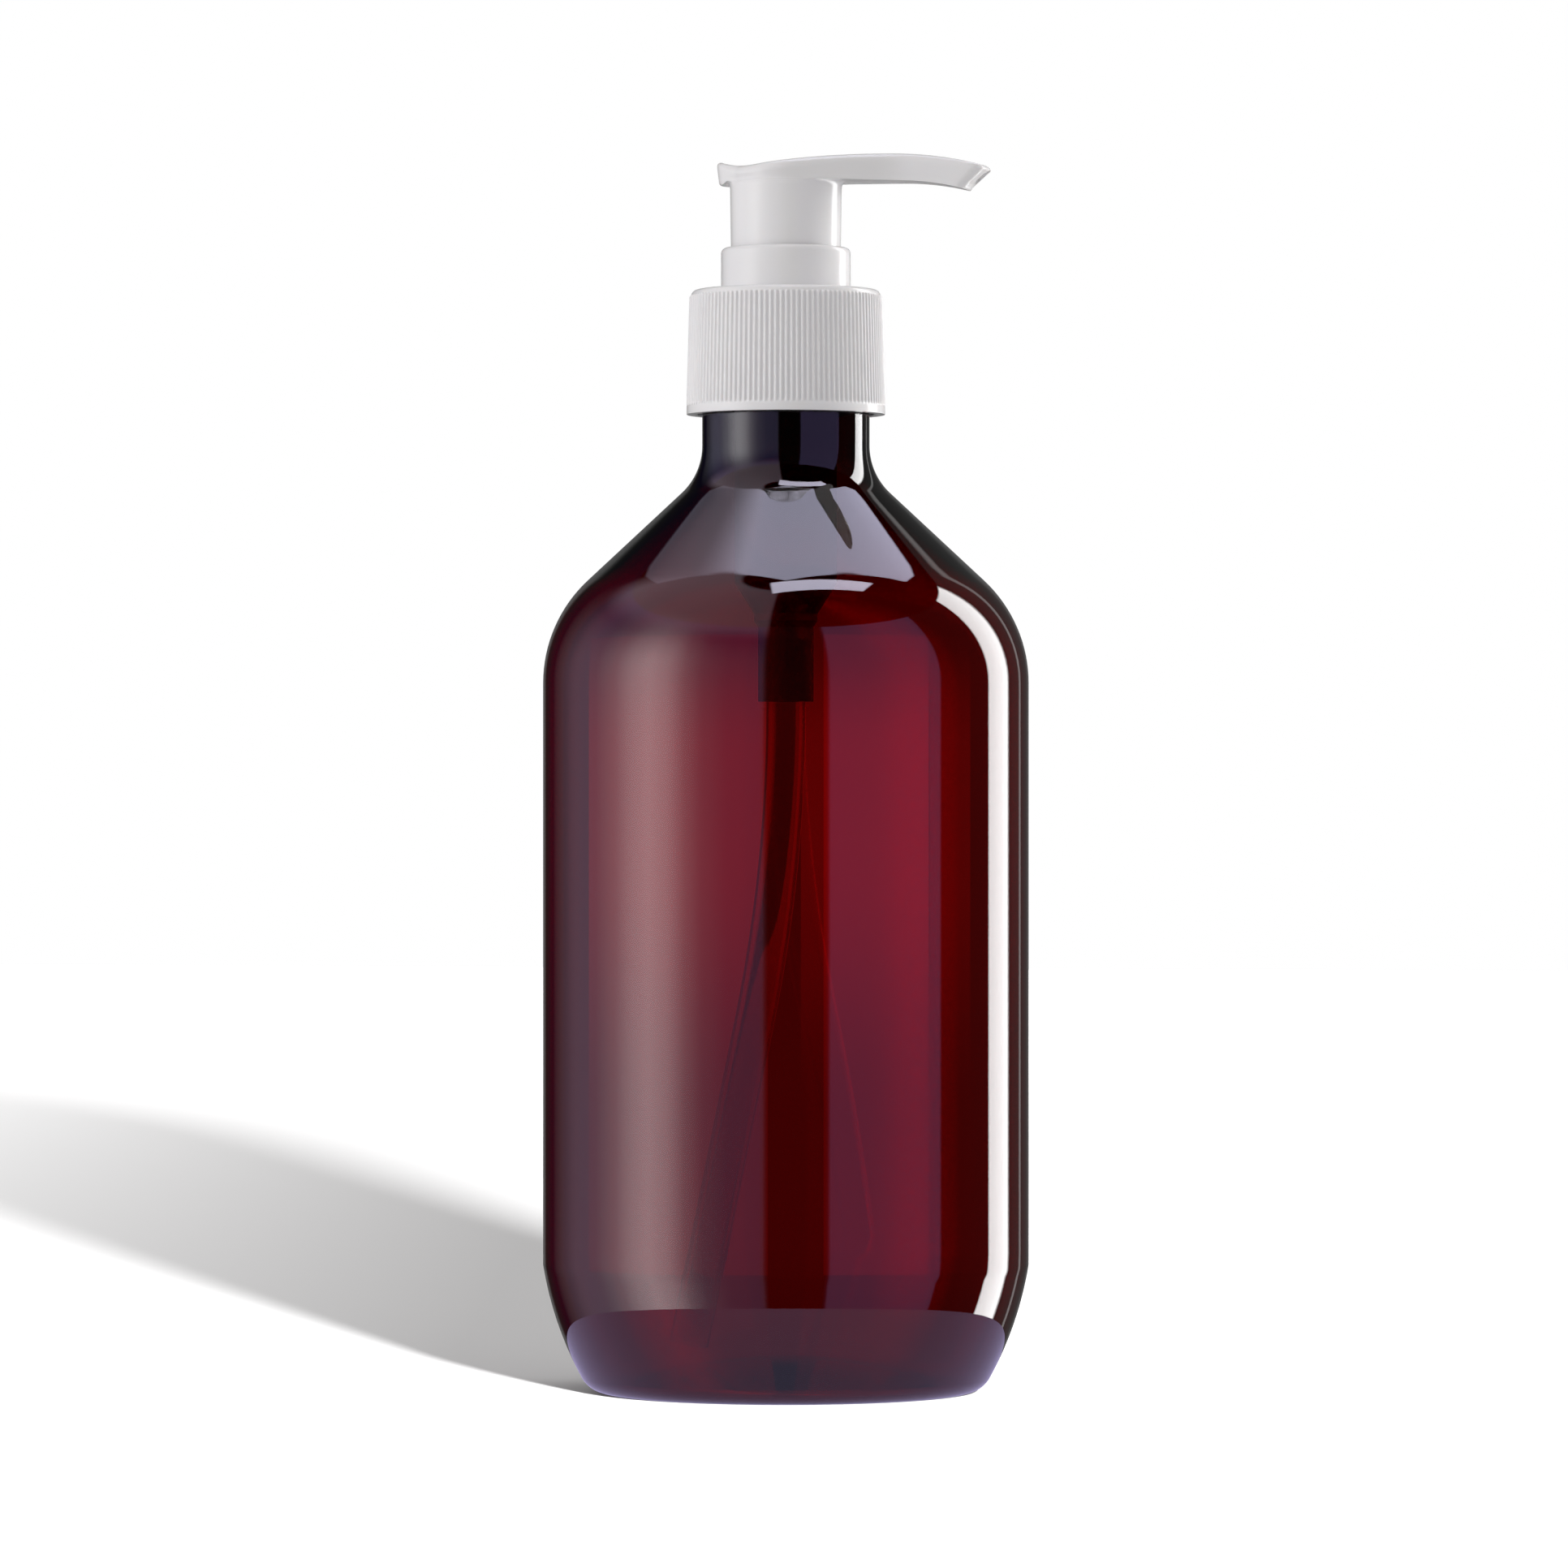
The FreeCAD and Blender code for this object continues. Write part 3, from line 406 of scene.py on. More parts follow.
def head_outline():
    """Half of the head's plan, from the middle of the spout's end round to the heel, as points (x, y)."""
    slope = math.pi / 2 - FLANK_ANGLE
    end_half = SPOUT_HALF - TIP_ROUND
    points = [(SPOUT_TIP - END_BULGE * (k / 4) ** 2, end_half * k / 4) for k in range(4)]
    corner_start = (SPOUT_TIP - END_BULGE, end_half)
    corner_end = (SPOUT_TIP - END_BULGE - TIP_ROUND, SPOUT_HALF)
    points.append(corner_start)
    points += arc_points(corner_start, corner_end, TIP_ROUND, "left", 15)
    root_end = (SPOUT_ROOT + ROOT_BLEND, SPOUT_HALF)
    points += [(corner_end[0] + (root_end[0] - corner_end[0]) * k / 10, SPOUT_HALF) for k in range(1, 11)]
    root_start = (SPOUT_ROOT - ROOT_BLEND * math.cos(slope), SPOUT_HALF + ROOT_BLEND * math.sin(slope))
    points += arc_points(root_end, root_start, ROOT_BLEND / math.tan(slope / 2), "right", 4)
    flank = (SKIRT_TOP_RADIUS * math.cos(FLANK_ANGLE), SKIRT_TOP_RADIUS * math.sin(FLANK_ANGLE))
    points += [(root_start[0] + (flank[0] - root_start[0]) * k / 12,
                root_start[1] + (flank[1] - root_start[1]) * k / 12) for k in range(1, 13)]
    reach = SKIRT_TOP_RADIUS + HEEL_CORNER
    near = HEEL_ROUND + HEEL_CORNER
    across = -(reach ** 2 - near ** 2 + HEEL_CENTRE ** 2) / (-2 * HEEL_CENTRE)
    side = math.sqrt(reach ** 2 - across ** 2)
    on_middle = (across * SKIRT_TOP_RADIUS / reach, side * SKIRT_TOP_RADIUS / reach)
    on_heel = (HEEL_CENTRE + (across - HEEL_CENTRE) * HEEL_ROUND / near, side * HEEL_ROUND / near)
    points += arc_points(flank, on_middle, SKIRT_TOP_RADIUS, "left", 3.5)
    points += arc_points(on_middle, on_heel, HEEL_CORNER, "right", 8)
    points += arc_points(on_heel, (HEEL_CENTRE - HEEL_ROUND, 0), HEEL_ROUND, "left", 5)
    return np.array(points)


def head_top(x):
    """The height of the head's top along the spout's line: heel lip, saddle, crest and drooping end."""
    x = np.asarray(x, float)

    # the clips only keep each root real where another curve is in use
    def bowl(radius):
        return SADDLE_HEIGHT + radius - np.sqrt(radius ** 2 - np.clip(x - HEEL_CENTRE, -8, 8) ** 2)

    def hill(radius):
        return CREST_HEIGHT - radius + np.sqrt(radius ** 2 - np.clip(x - CREST, -22, 17) ** 2)

    rise = np.where(x < HEEL_CENTRE, bowl(HEEL_LIP_CURVE), bowl(SADDLE_CURVE))
    fall = np.where(x < CREST, hill(BACK_CURVE), hill(DROOP_CURVE))
    return np.where(x < SADDLE_END, rise, fall)


def head_under(x):
    """The height of the underside of the heel and spout."""
    x = np.asarray(x, float)
    level = np.clip((x - SKIRT_TOP_RADIUS) / (DROOP_START - SKIRT_TOP_RADIUS), 0, 1)
    droop = np.clip(x - DROOP_START, 0, None) / (SPOUT_REACH - DROOP_START)
    heel = smooth((-x - SKIRT_TOP_RADIUS) / 1.3)
    return UNDERSIDE - ROOT_DROP * level - 1.65 * droop ** 2 - HEEL_DROP * heel


def inward_normals(outline):
    """Unit normals that point into a closed loop of points which runs anticlockwise."""
    along = np.roll(outline, -1, axis=0) - np.roll(outline, 1, axis=0)
    along /= np.linalg.norm(along, axis=1)[:, None]
    return np.stack([-along[:, 1], along[:, 0]], axis=1)


def quarter_turn(steps):
    """Equal steps after 0 up to a quarter turn, in radians."""
    return [math.radians(90 * step / steps) for step in range(1, steps + 1)]


def lifted(place, height):
    """Points (x, y) with a height each."""
    return np.concatenate([place, height[:, None]], axis=1)


def column_bearings(outline, half):
    """Where round the skirt each column of the skin stands: as far to the side as its top, if it can."""
    x_top, side = outline.T
    slack = 0.01
    lean = np.arcsin(np.clip(side / SKIRT_TOP_RADIUS, -1, 1))
    on_circle = np.hypot(x_top, side) < SKIRT_TOP_RADIUS + slack
    bearings = np.where(x_top < 0, math.pi - lean, lean)

    # along the spout's straight sides the columns are shared out evenly on the skirt
    past = np.zeros(len(outline))
    length = np.concatenate([[0], np.cumsum(np.hypot(*np.diff(half, axis=0).T))])
    root_at = length[np.argmax(half[:, 0] < SPOUT_ROOT + ROOT_BLEND + slack)]
    share = np.clip(length / root_at, 0, 1)
    past[:len(half)] = share
    past[len(half):] = share[1:-1][::-1]
    root_lean = math.asin(SPOUT_HALF / SKIRT_TOP_RADIUS)
    straight = x_top > SPOUT_ROOT + ROOT_BLEND - slack
    bearings = np.where(straight, np.sign(side) * root_lean * past, bearings)
    return np.where(on_circle, np.arctan2(side, x_top), bearings)


def inside_rows(bearings):
    """The skirt's inside, from the roof of the stem's socket down and out to the skirt's foot."""
    stem_end, socket_mouth, boss_radius = 186.0, 180.5, 5.2
    inside = profile([
        (0.3, SOCKET_ROOF), (CHANNEL_RADIUS, SOCKET_ROOF), (CHANNEL_RADIUS, stem_end),
        (SOCKET_RADIUS, stem_end), (SOCKET_RADIUS, socket_mouth), (boss_radius, socket_mouth),
        (boss_radius, SKIRT_ROOF), (SKIRT_BORE, SKIRT_ROOF), (SKIRT_BORE, SKIRT_BOTTOM),
        (SKIRT_BOTTOM_RADIUS, SKIRT_BOTTOM), (SKIRT_BOTTOM_RADIUS + 0.155, 188.1),
    ], edge=0.22, step=1.6)
    return [ring(radius, height, bearings) for radius, height in inside]


def outside_rows(outline, bearings):
    """The flare from the skirt, the underside, the wall and the rounded rim, row by row."""
    x_top, side = outline.T
    inward = inward_normals(outline)
    near_tip = smooth((x_top - TIP_START) / (SPOUT_TIP - TIP_ROUND - TIP_START))
    near_heel = smooth((-x_top - HEEL_START) / HEEL_RUN)
    foot = SKIRT_TOP_RADIUS * np.stack([np.cos(bearings), np.sin(bearings)], axis=1)
    x_bottom = x_top - (SPOUT_TIP - SPOUT_REACH) * near_tip
    edge = np.stack([x_bottom, side], axis=1) + inward * WALL_DRAFT
    hang = np.linalg.norm(edge - foot, axis=1)
    flare = np.minimum(FLARE, MOST_OF_SIDE * hang)
    rounding = np.minimum(LOWER_ROUNDING, MOST_OF_SIDE * hang)
    overhang = smooth(hang / 1.5)
    direction = (edge - foot) / np.maximum(hang, 1e-9)[:, None]

    def out_from_foot(distance):
        return foot + direction * distance[:, None]

    rows = []
    level = head_under(foot[:, 0]) - ROOT_DROP * (1 - overhang)
    for angle in quarter_turn(6):
        place = out_from_foot(flare * (1 - math.cos(angle)))
        rows.append(lifted(place, level - FLARE * (1 - math.sin(angle))))
    under_steps = 10
    for step in range(1, under_steps + 1):
        share = step / under_steps
        place = out_from_foot(flare + (hang - flare - rounding) * share)
        rows.append(lifted(place, head_under(place[:, 0]) - ROOT_DROP * (1 - overhang) * (1 - share)))
    bottom = head_under(edge[:, 0])
    for angle in quarter_turn(4):
        place = out_from_foot(hang - rounding * (1 - math.sin(angle)))
        rows.append(lifted(place, bottom + LOWER_ROUNDING * (1 - math.cos(angle))))

    rim = RIM - TIP_THINNING * near_tip - HEEL_THINNING * near_heel
    wall_top = head_top(x_top) - crown(side) - rim
    wall_foot = bottom + LOWER_ROUNDING
    wall_steps = 5
    for step in range(1, wall_steps + 1):
        share = step / wall_steps
        rows.append(lifted(edge + (outline - edge) * share, wall_foot + (wall_top - wall_foot) * share))
    for angle in quarter_turn(6):
        place = outline + inward * (rim * (1 - math.cos(angle)))[:, None]
        rows.append(lifted(place, head_top(place[:, 0]) - crown(place[:, 1]) - rim * (1 - math.sin(angle))))
    return rows


def top_faces(vertices, rim, half_count):
    """Faces over the top, in rows across from one side of the rim to the other.  Adds to the vertices."""
    steps = 12
    across_rows = [[rim[0]]]
    for j in range(1, half_count - 1):
        left, right = rim[j], rim[len(rim) - j]
        start, end = np.array(vertices[left]), np.array(vertices[right])
        row = [left]
        for k in range(1, steps):
            place = start + (end - start) * k / steps
            place[2] = head_top(place[0]) - crown(place[1])
            row.append(len(vertices))
            vertices.append(place)
        row.append(right)
        across_rows.append(row)
    across_rows.append([rim[half_count - 1]])

    faces = []
    for before, after in zip(across_rows, across_rows[1:]):
        if len(before) == 1:
            faces += [(before[0], after[k], after[k + 1]) for k in range(steps)]
        elif len(after) == 1:
            faces += [(before[k + 1], before[k], after[0]) for k in range(steps)]
        else:
            faces += [(before[k + 1], before[k], after[k], after[k + 1]) for k in range(steps)]
    return faces


def make_head():
    """The head in one skin: hollow skirt with the stem's socket, flared into plate, heel and spout."""
    half = head_outline()
    outline = np.concatenate([half, half[1:-1][::-1] * (1, -1)])
    bearings = column_bearings(outline, half)
    vertices = []
    numbers = []
    for row in inside_rows(bearings) + outside_rows(outline, bearings):
        numbers.append(list(range(len(vertices), len(vertices) + len(row))))
        vertices.extend(row)
    faces = grid_faces(numbers, False)
    faces.append(tuple(reversed(numbers[0])))
    faces += top_faces(vertices, numbers[-1], len(half))
    return new_object("actuator", vertices, faces, sharp=40.0)


def crown(side):
    """How far the top falls away to the sides."""
    return 0.25 * (np.asarray(side) / SKIRT_TOP_RADIUS) ** 2


def tube_rows(path, radius, angles):
    """Rings square to a path in the XZ plane, one for each of its points."""
    path = np.array(path, float)
    ahead = np.gradient(path, axis=0)
    ahead /= np.linalg.norm(ahead, axis=1)[:, None]
    rows = []
    for place, direction in zip(path, ahead):
        normal = np.array([-direction[1], direction[0]])
        across = radius * np.cos(angles)
        rows.append(np.stack([place[0] + normal[0] * across, radius * np.sin(angles),
                              place[1] + normal[1] * across], axis=1))
    return rows


def apply_boolean(target, tool, operation):
    """Join the target with the tool or cut the tool out of it, and remove the tool."""
    modifier = target.modifiers.new("shape", "BOOLEAN")
    modifier.operation = operation
    modifier.object = tool
    modifier.solver = "EXACT"
    graph = bpy.context.evaluated_depsgraph_get()
    mesh = bpy.data.meshes.new_from_object(target.evaluated_get(graph))
    old = target.data
    target.modifiers.clear()
    target.data = mesh
    bpy.data.meshes.remove(old)
    bpy.data.objects.remove(tool)
    return target


def finish_head(head):
    """Add the two lock fins inside the skirt and cut the arched channel out through the spout's end."""
    near, far, half = 5.0, 6.6, 0.6
    fin_bottom, fin_top = 178.6, 188.9
    for way in (1, -1):
        corners = [(way * x, y, z) for z in (fin_bottom, fin_top)
                   for x, y in ((near, -half), (far, -half), (far, half), (near, half))]
        faces = [(0, 3, 2, 1), (4, 5, 6, 7), (0, 1, 5, 4), (1, 2, 6, 5), (2, 3, 7, 6), (3, 0, 4, 7)]
        if way < 0:
            faces = [face[::-1] for face in faces]
        fin = new_object("fin", corners, faces)
        apply_boolean(head, fin, "UNION")
    channel_curve = 99.0
    inlet = (-0.47, SOCKET_ROOF - 0.03)
    outlet = (SPOUT_TIP + 1, 189.1)
    arch = [inlet] + arc_points(inlet, outlet, channel_curve, "right", 1.0, 2.0)
    angles = all_round(32)[::-1]
    rows = tube_rows(arch, CHANNEL_RADIUS, angles)
    start = np.array([[arch[0][0], 0, arch[0][1]]])
    end = np.array([[arch[-1][0], 0, arch[-1][1]]])
    channel = rows_object("channel", [start] + rows + [end])
    apply_boolean(head, channel, "DIFFERENCE")
    head.data.shade_smooth()
    head.data.set_sharp_from_angle(angle=math.radians(40))
    return head


# ---------------------------------------------------------------- dip tube

TUBE_RADIUS = 3.15
TUBE_WALL = 0.8
TUBE_TOP = 118.0
BEND_START = 107.5
BEND_CURVE = 245.0
BEND_ANGLE = math.radians(11.66)
TUBE_TAIL = 52.0


def make_dip_tube():
    """A thin-walled tube that bends gently to one side on its way down."""
    path = [(0.0, TUBE_TOP), (0.0, TUBE_TOP - 3), (0.0, TUBE_TOP - 6), (0.0, BEND_START)]
    for step in range(1, 13):
        angle = BEND_ANGLE * step / 12
        path.append((-BEND_CURVE * (1 - math.cos(angle)),
                     BEND_START - BEND_CURVE * math.sin(angle)))
    bend_end = path[-1]
    for step in range(1, 9):
        run = TUBE_TAIL * step / 8
        path.append((bend_end[0] - run * math.sin(BEND_ANGLE),
                     bend_end[1] - run * math.cos(BEND_ANGLE)))
    angles = all_round(48)
    outer = tube_rows(path, TUBE_RADIUS, angles)
    inner = tube_rows(path, TUBE_RADIUS - TUBE_WALL, angles)
    return rows_object("suction_tube", outer + inner[::-1], wrap=True)


# ---------------------------------------------------------------- node helper

class Nodes:
    """Short ways to add nodes to a material's or the world's tree."""

    def __init__(self, owner):
        owner.use_nodes = True
        self.tree = owner.node_tree
        self.tree.nodes.clear()

    def add(self, kind, values=None, **settings):
        node = self.tree.nodes.new(kind)
        for name, setting in settings.items():
            setattr(node, name, setting)
        for name, value in (values or {}).items():
            if isinstance(value, bpy.types.NodeSocket):
                self.tree.links.new(value, node.inputs[name])
            else:
                node.inputs[name].default_value = value
        return node

    def math(self, operation, first, second=0.0, third=0.0):
        node = self.add("ShaderNodeMath", {0: first, 1: second, 2: third}, operation=operation)
        return node.outputs[0]

    def step(self, value, low, high, ease=True):
        """0 below low, 1 above high."""
        kind = "SMOOTHSTEP" if ease else "LINEAR"
        node = self.add("ShaderNodeMapRange", {0: value, 1: low, 2: high, 3: 0.0, 4: 1.0},
                        interpolation_type=kind, clamp=True)
        return node.outputs[0]

    def ramp(self, factor, stops):
        """A colour that changes evenly between stops, each a place and a colour."""
        node = self.add("ShaderNodeValToRGB", {0: factor})
        ramp = node.color_ramp
        ramp.interpolation = "LINEAR"
        while len(ramp.elements) < len(stops):
            ramp.elements.new(0.5)
        for element, (place, colour) in zip(ramp.elements, stops):
            element.position = place
            element.color = (*colour, 1.0)
        return node.outputs[0]

    def mix(self, factor, first, second, blend="MIX"):
        node = self.add("ShaderNodeMix", {0: factor, 6: first, 7: second},
                        data_type="RGBA", blend_type=blend)
        return node.outputs[2]

    def noise(self, vector, scale, detail=3.0, roughness=0.5):
        node = self.add("ShaderNodeTexNoise", {"Vector": vector, "Scale": scale, "Detail": detail,
                                               "Roughness": roughness})
        return node.outputs["Fac"]


# ---------------------------------------------------------------- materials

def plastic(name, colour, tint, roughness, grain=0.03, grain_scale=2600.0, **extras):
    """A moulded plastic: faint colour drift, uneven gloss and a fine moulded grain."""
    material = bpy.data.materials.new(name)
    n = Nodes(material)
    place = n.add("ShaderNodeTexCoord").outputs["Object"]
    drift = n.noise(place, 45.0, 4.0)
    base = n.mix(n.step(drift, 0.3, 0.7), (*colour, 1.0), (*tint, 1.0))
    gloss = n.noise(place, 260.0, 5.0, 0.6)
    rough = n.add("ShaderNodeMapRange", {0: gloss, 1: 0.25, 2: 0.75,
                                         3: roughness * 0.8, 4: roughness * 1.25})
    fine = n.noise(place, grain_scale, 2.0)
    broad = n.noise(place, 320.0, 2.0)
    height = n.math("MULTIPLY_ADD", broad, 0.6, fine)
    bump = n.add("ShaderNodeBump", {"Strength": grain, "Distance": 0.0001, "Height": height})
    shader = n.add("ShaderNodeBsdfPrincipled", {"Base Color": base, "Roughness": rough.outputs[0],
                                                "Normal": bump.outputs[0]})
    for socket, setting in extras.items():
        shader.inputs[socket.replace("_", " ")].default_value = setting
    n.add("ShaderNodeOutputMaterial", {"Surface": shader.outputs[0]})
    return material


def tinted_pet():
    """Clear deep-red PET: a glossy skin over a coloured wall, slightly uneven as a blown bottle is."""
    material = bpy.data.materials.new("red_pet")
    n = Nodes(material)
    place = n.add("ShaderNodeTexCoord").outputs["Object"]
    stretched = n.add("ShaderNodeMapping", {"Vector": place, "Scale": (1.0, 1.0, 0.35)}).outputs[0]
    wave = n.noise(stretched, 38.0, 1.0)
    haze = n.noise(place, 160.0, 4.0)
    rough = n.add("ShaderNodeMapRange", {0: haze, 1: 0.3, 2: 0.8, 3: 0.0, 4: 0.02})
    bump = n.add("ShaderNodeBump", {"Strength": 0.06, "Distance": 0.0004, "Height": wave})
    shader = n.add("ShaderNodeBsdfPrincipled", {"Roughness": rough.outputs[0], "Normal": bump.outputs[0]})
    shader.inputs["Base Color"].default_value = (1.0, 1.0, 1.0, 1.0)
    shader.inputs["Transmission Weight"].default_value = 1.0
    shader.inputs["IOR"].default_value = 1.575
    depth = n.add("ShaderNodeVolumeAbsorption", {"Color": (0.85, 0.0, 0.01, 1.0), "Density": 4600.0})
    n.add("ShaderNodeOutputMaterial", {"Surface": shader.outputs[0], "Volume": depth.outputs[0]})
    return material


def clear_plastic(name, colour, roughness, transmission, ior=1.5):
    """A see-through or milky plastic with faint streaks along it."""
    material = bpy.data.materials.new(name)
    n = Nodes(material)
    place = n.add("ShaderNodeTexCoord").outputs["Object"]
    stretched = n.add("ShaderNodeMapping", {"Vector": place, "Scale": (1.0, 1.0, 0.08)}).outputs[0]
    streak = n.noise(stretched, 900.0, 3.0)
    rough = n.add("ShaderNodeMapRange", {0: streak, 1: 0.3, 2: 0.7,
                                         3: roughness * 0.8, 4: roughness * 1.3})
    bump = n.add("ShaderNodeBump", {"Strength": 0.1, "Distance": 0.0001, "Height": streak})
    shader = n.add("ShaderNodeBsdfPrincipled", {"Roughness": rough.outputs[0], "Normal": bump.outputs[0]})
    shader.inputs["Base Color"].default_value = (*colour, 1.0)
    shader.inputs["Transmission Weight"].default_value = transmission
    shader.inputs["IOR"].default_value = ior
    n.add("ShaderNodeOutputMaterial", {"Surface": shader.outputs[0]})
    return material


def drawn_steel():
    """Drawn stainless wire: bright, with fine lines along it."""
    material = bpy.data.materials.new("drawn_steel")
    n = Nodes(material)
    place = n.add("ShaderNodeTexCoord").outputs["Object"]
    stretched = n.add("ShaderNodeMapping", {"Vector": place, "Scale": (0.2, 0.2, 6.0)}).outputs[0]
    lines = n.noise(stretched, 2400.0)
    tone = n.mix(lines, (0.50, 0.50, 0.52, 1.0), (0.68, 0.68, 0.70, 1.0))
    rough = n.add("ShaderNodeMapRange", {0: lines, 1: 0.3, 2: 0.7, 3: 0.16, 4: 0.34})
    bump = n.add("ShaderNodeBump", {"Strength": 0.15, "Distance": 0.00005, "Height": lines})
    shader = n.add("ShaderNodeBsdfPrincipled", {"Base Color": tone, "Roughness": rough.outputs[0],
                                                "Normal": bump.outputs[0]})
    shader.inputs["Metallic"].default_value = 1.0
    n.add("ShaderNodeOutputMaterial", {"Surface": shader.outputs[0]})
    return material


def dress(thing, material):
    """Give an object one material in place of any that it had."""
    thing.data.materials.clear()
    thing.data.materials.append(material)


PET = tinted_pet()
WHITE = plastic("white_polypropylene", (0.84, 0.835, 0.835), (0.815, 0.81, 0.815), 0.16,
                Subsurface_Weight=0.12, Subsurface_Scale=0.0006, Specular_IOR_Level=0.32)
WHITE.node_tree.nodes["Principled BSDF"].inputs["Subsurface Radius"].default_value = (1.0, 0.8, 0.7)
INNER_WHITE = plastic("inner_polypropylene", (0.82, 0.82, 0.83), (0.79, 0.79, 0.80), 0.3)
FOAM = plastic("foamed_polythene", (0.86, 0.86, 0.84), (0.80, 0.80, 0.78), 0.75,
               grain=0.5, grain_scale=1500.0)
SOFT_PE = plastic("soft_polythene", (0.76, 0.77, 0.78), (0.72, 0.73, 0.74), 0.35)
NATURAL = clear_plastic("natural_polypropylene", (0.42, 0.43, 0.43), 0.35, 0.85, 1.3)
TUBE = clear_plastic("tube_polythene", (0.80, 0.80, 0.80), 0.05, 1.0, 1.12)
GLASS = clear_plastic("ball_glass", (0.93, 0.97, 0.96), 0.03, 1.0, 1.52)
STEEL = drawn_steel()

# ---------------------------------------------------------------- pieces

bottle = make_bottle()
closure = make_closure()
head = finish_head(make_head())
tube = make_dip_tube()

PIECES = (
    (bottle, "bottle", "bottle", "bottle_red", PET),
    (closure, "closure", "closure", "pump_white", WHITE),
    (head, "plunger", "actuator_head", "pump_white", WHITE),
    (tube, "pump_body", "dip_tube", "tube_clear", TUBE),
)
for piece, body, node, slot_name, material in PIECES:
    dress(piece, material)
    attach(piece, body)
    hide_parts(node)

NODE_MATERIALS = {
    "lock_collar": WHITE,
    "neck_gasket": FOAM,
    "stem_seal": SOFT_PE,
    "ball_retainer": INNER_WHITE,
    "spring": STEEL,
    "inlet_ball": GLASS,
    "outlet_ball": GLASS,
    "piston": SOFT_PE,
    "piston_core": INNER_WHITE,
    "stem": INNER_WHITE,
    "pump_housing": NATURAL,
}
for node, material in NODE_MATERIALS.items():
    dress(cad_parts[node], material)

# ---------------------------------------------------------------- floor

FLOOR_HALF = 3.4
STAND_RADIUS = 0.062
STAND_DROP = 0.0002
FLOOR_TONE = 0.535
# painted light: the floor's own glow, which fades the shadow out to the left and brightens the floor far
# away
FADE_START, FADE_END, FADE_MOST = 0.055, 0.35, 0.65    # how the shadow fades out to the left
FAR_START, FAR_END, FAR_MOST = 0.8, 1.7, 0.62          # how the floor brightens far away


def flat_piece(name, corners, shader_of):
    """A flat piece of the stage, from its corners and from a function that makes its shader."""
    mesh = bpy.data.meshes.new(name)
    mesh.from_pydata(corners, [], [tuple(range(len(corners)))])
    piece = bpy.data.objects.new(name, mesh)
    bpy.context.scene.collection.objects.link(piece)
    material = bpy.data.materials.new(name)
    n = Nodes(material)
    n.add("ShaderNodeOutputMaterial", {"Surface": shader_of(n)})
    dress(piece, material)
    return piece


def floor_shader(n):
    """A pale matt floor with painted light: a glow brightens it far away and to the left of the bottle,
    where the glow fades the shadow out.
    """
    place = n.add("ShaderNodeTexCoord").outputs["Object"]
    to_left = tuple(-part for part in TO_RIGHT)
    aside = n.add("ShaderNodeVectorMath", {0: place, 1: to_left}, operation="DOT_PRODUCT").outputs["Value"]
    away = n.add("ShaderNodeVectorMath", {0: place}, operation="LENGTH").outputs["Value"]
    matt = n.add("ShaderNodeBsdfDiffuse", {"Color": (FLOOR_TONE, FLOOR_TONE, FLOOR_TONE, 1.0)}).outputs[0]
    # painted light: the glow that lightens the shadow to the left and the floor far away
    painted_light_left = n.math("MULTIPLY", n.step(aside, FADE_START, FADE_END, ease=False), FADE_MOST)
    far = n.math("MULTIPLY", n.step(away, FAR_START, FAR_END, ease=False), FAR_MOST)
    lift = n.math("MAXIMUM", painted_light_left, far)
    glow = n.add("ShaderNodeEmission", {"Strength": lift}).outputs[0]
    return n.add("ShaderNodeAddShader", {0: matt, 1: glow}).outputs[0]


def make_floor():
    """The floor, which only the camera sees, so that it leaves the bottle's reflections alone."""
    half = FLOOR_HALF
    corners = [(-half, -half, 0), (half, -half, 0), (half, half, 0), (-half, half, 0)]
    floor = flat_piece("floor", corners, floor_shader)
    floor.visible_glossy = False
    floor.visible_transmission = False
    floor.visible_diffuse = False
    return floor


def make_stand():
    """What the glossy base sees below it: a small pale round under the bottle."""
    rim = [(STAND_RADIUS * math.cos(a), STAND_RADIUS * math.sin(a), -STAND_DROP) for a in all_round(64)]

    def shader(n):
        return n.add("ShaderNodeEmission", {"Color": (0.62, 0.55, 0.92, 1.0), "Strength": 0.8}).outputs[0]

    stand = flat_piece("stand", rim, shader)
    stand.visible_camera = False
    stand.visible_diffuse = False
    stand.visible_transmission = False
    stand.visible_shadow = False


floor = make_floor()
make_stand()

# ---------------------------------------------------------------- world

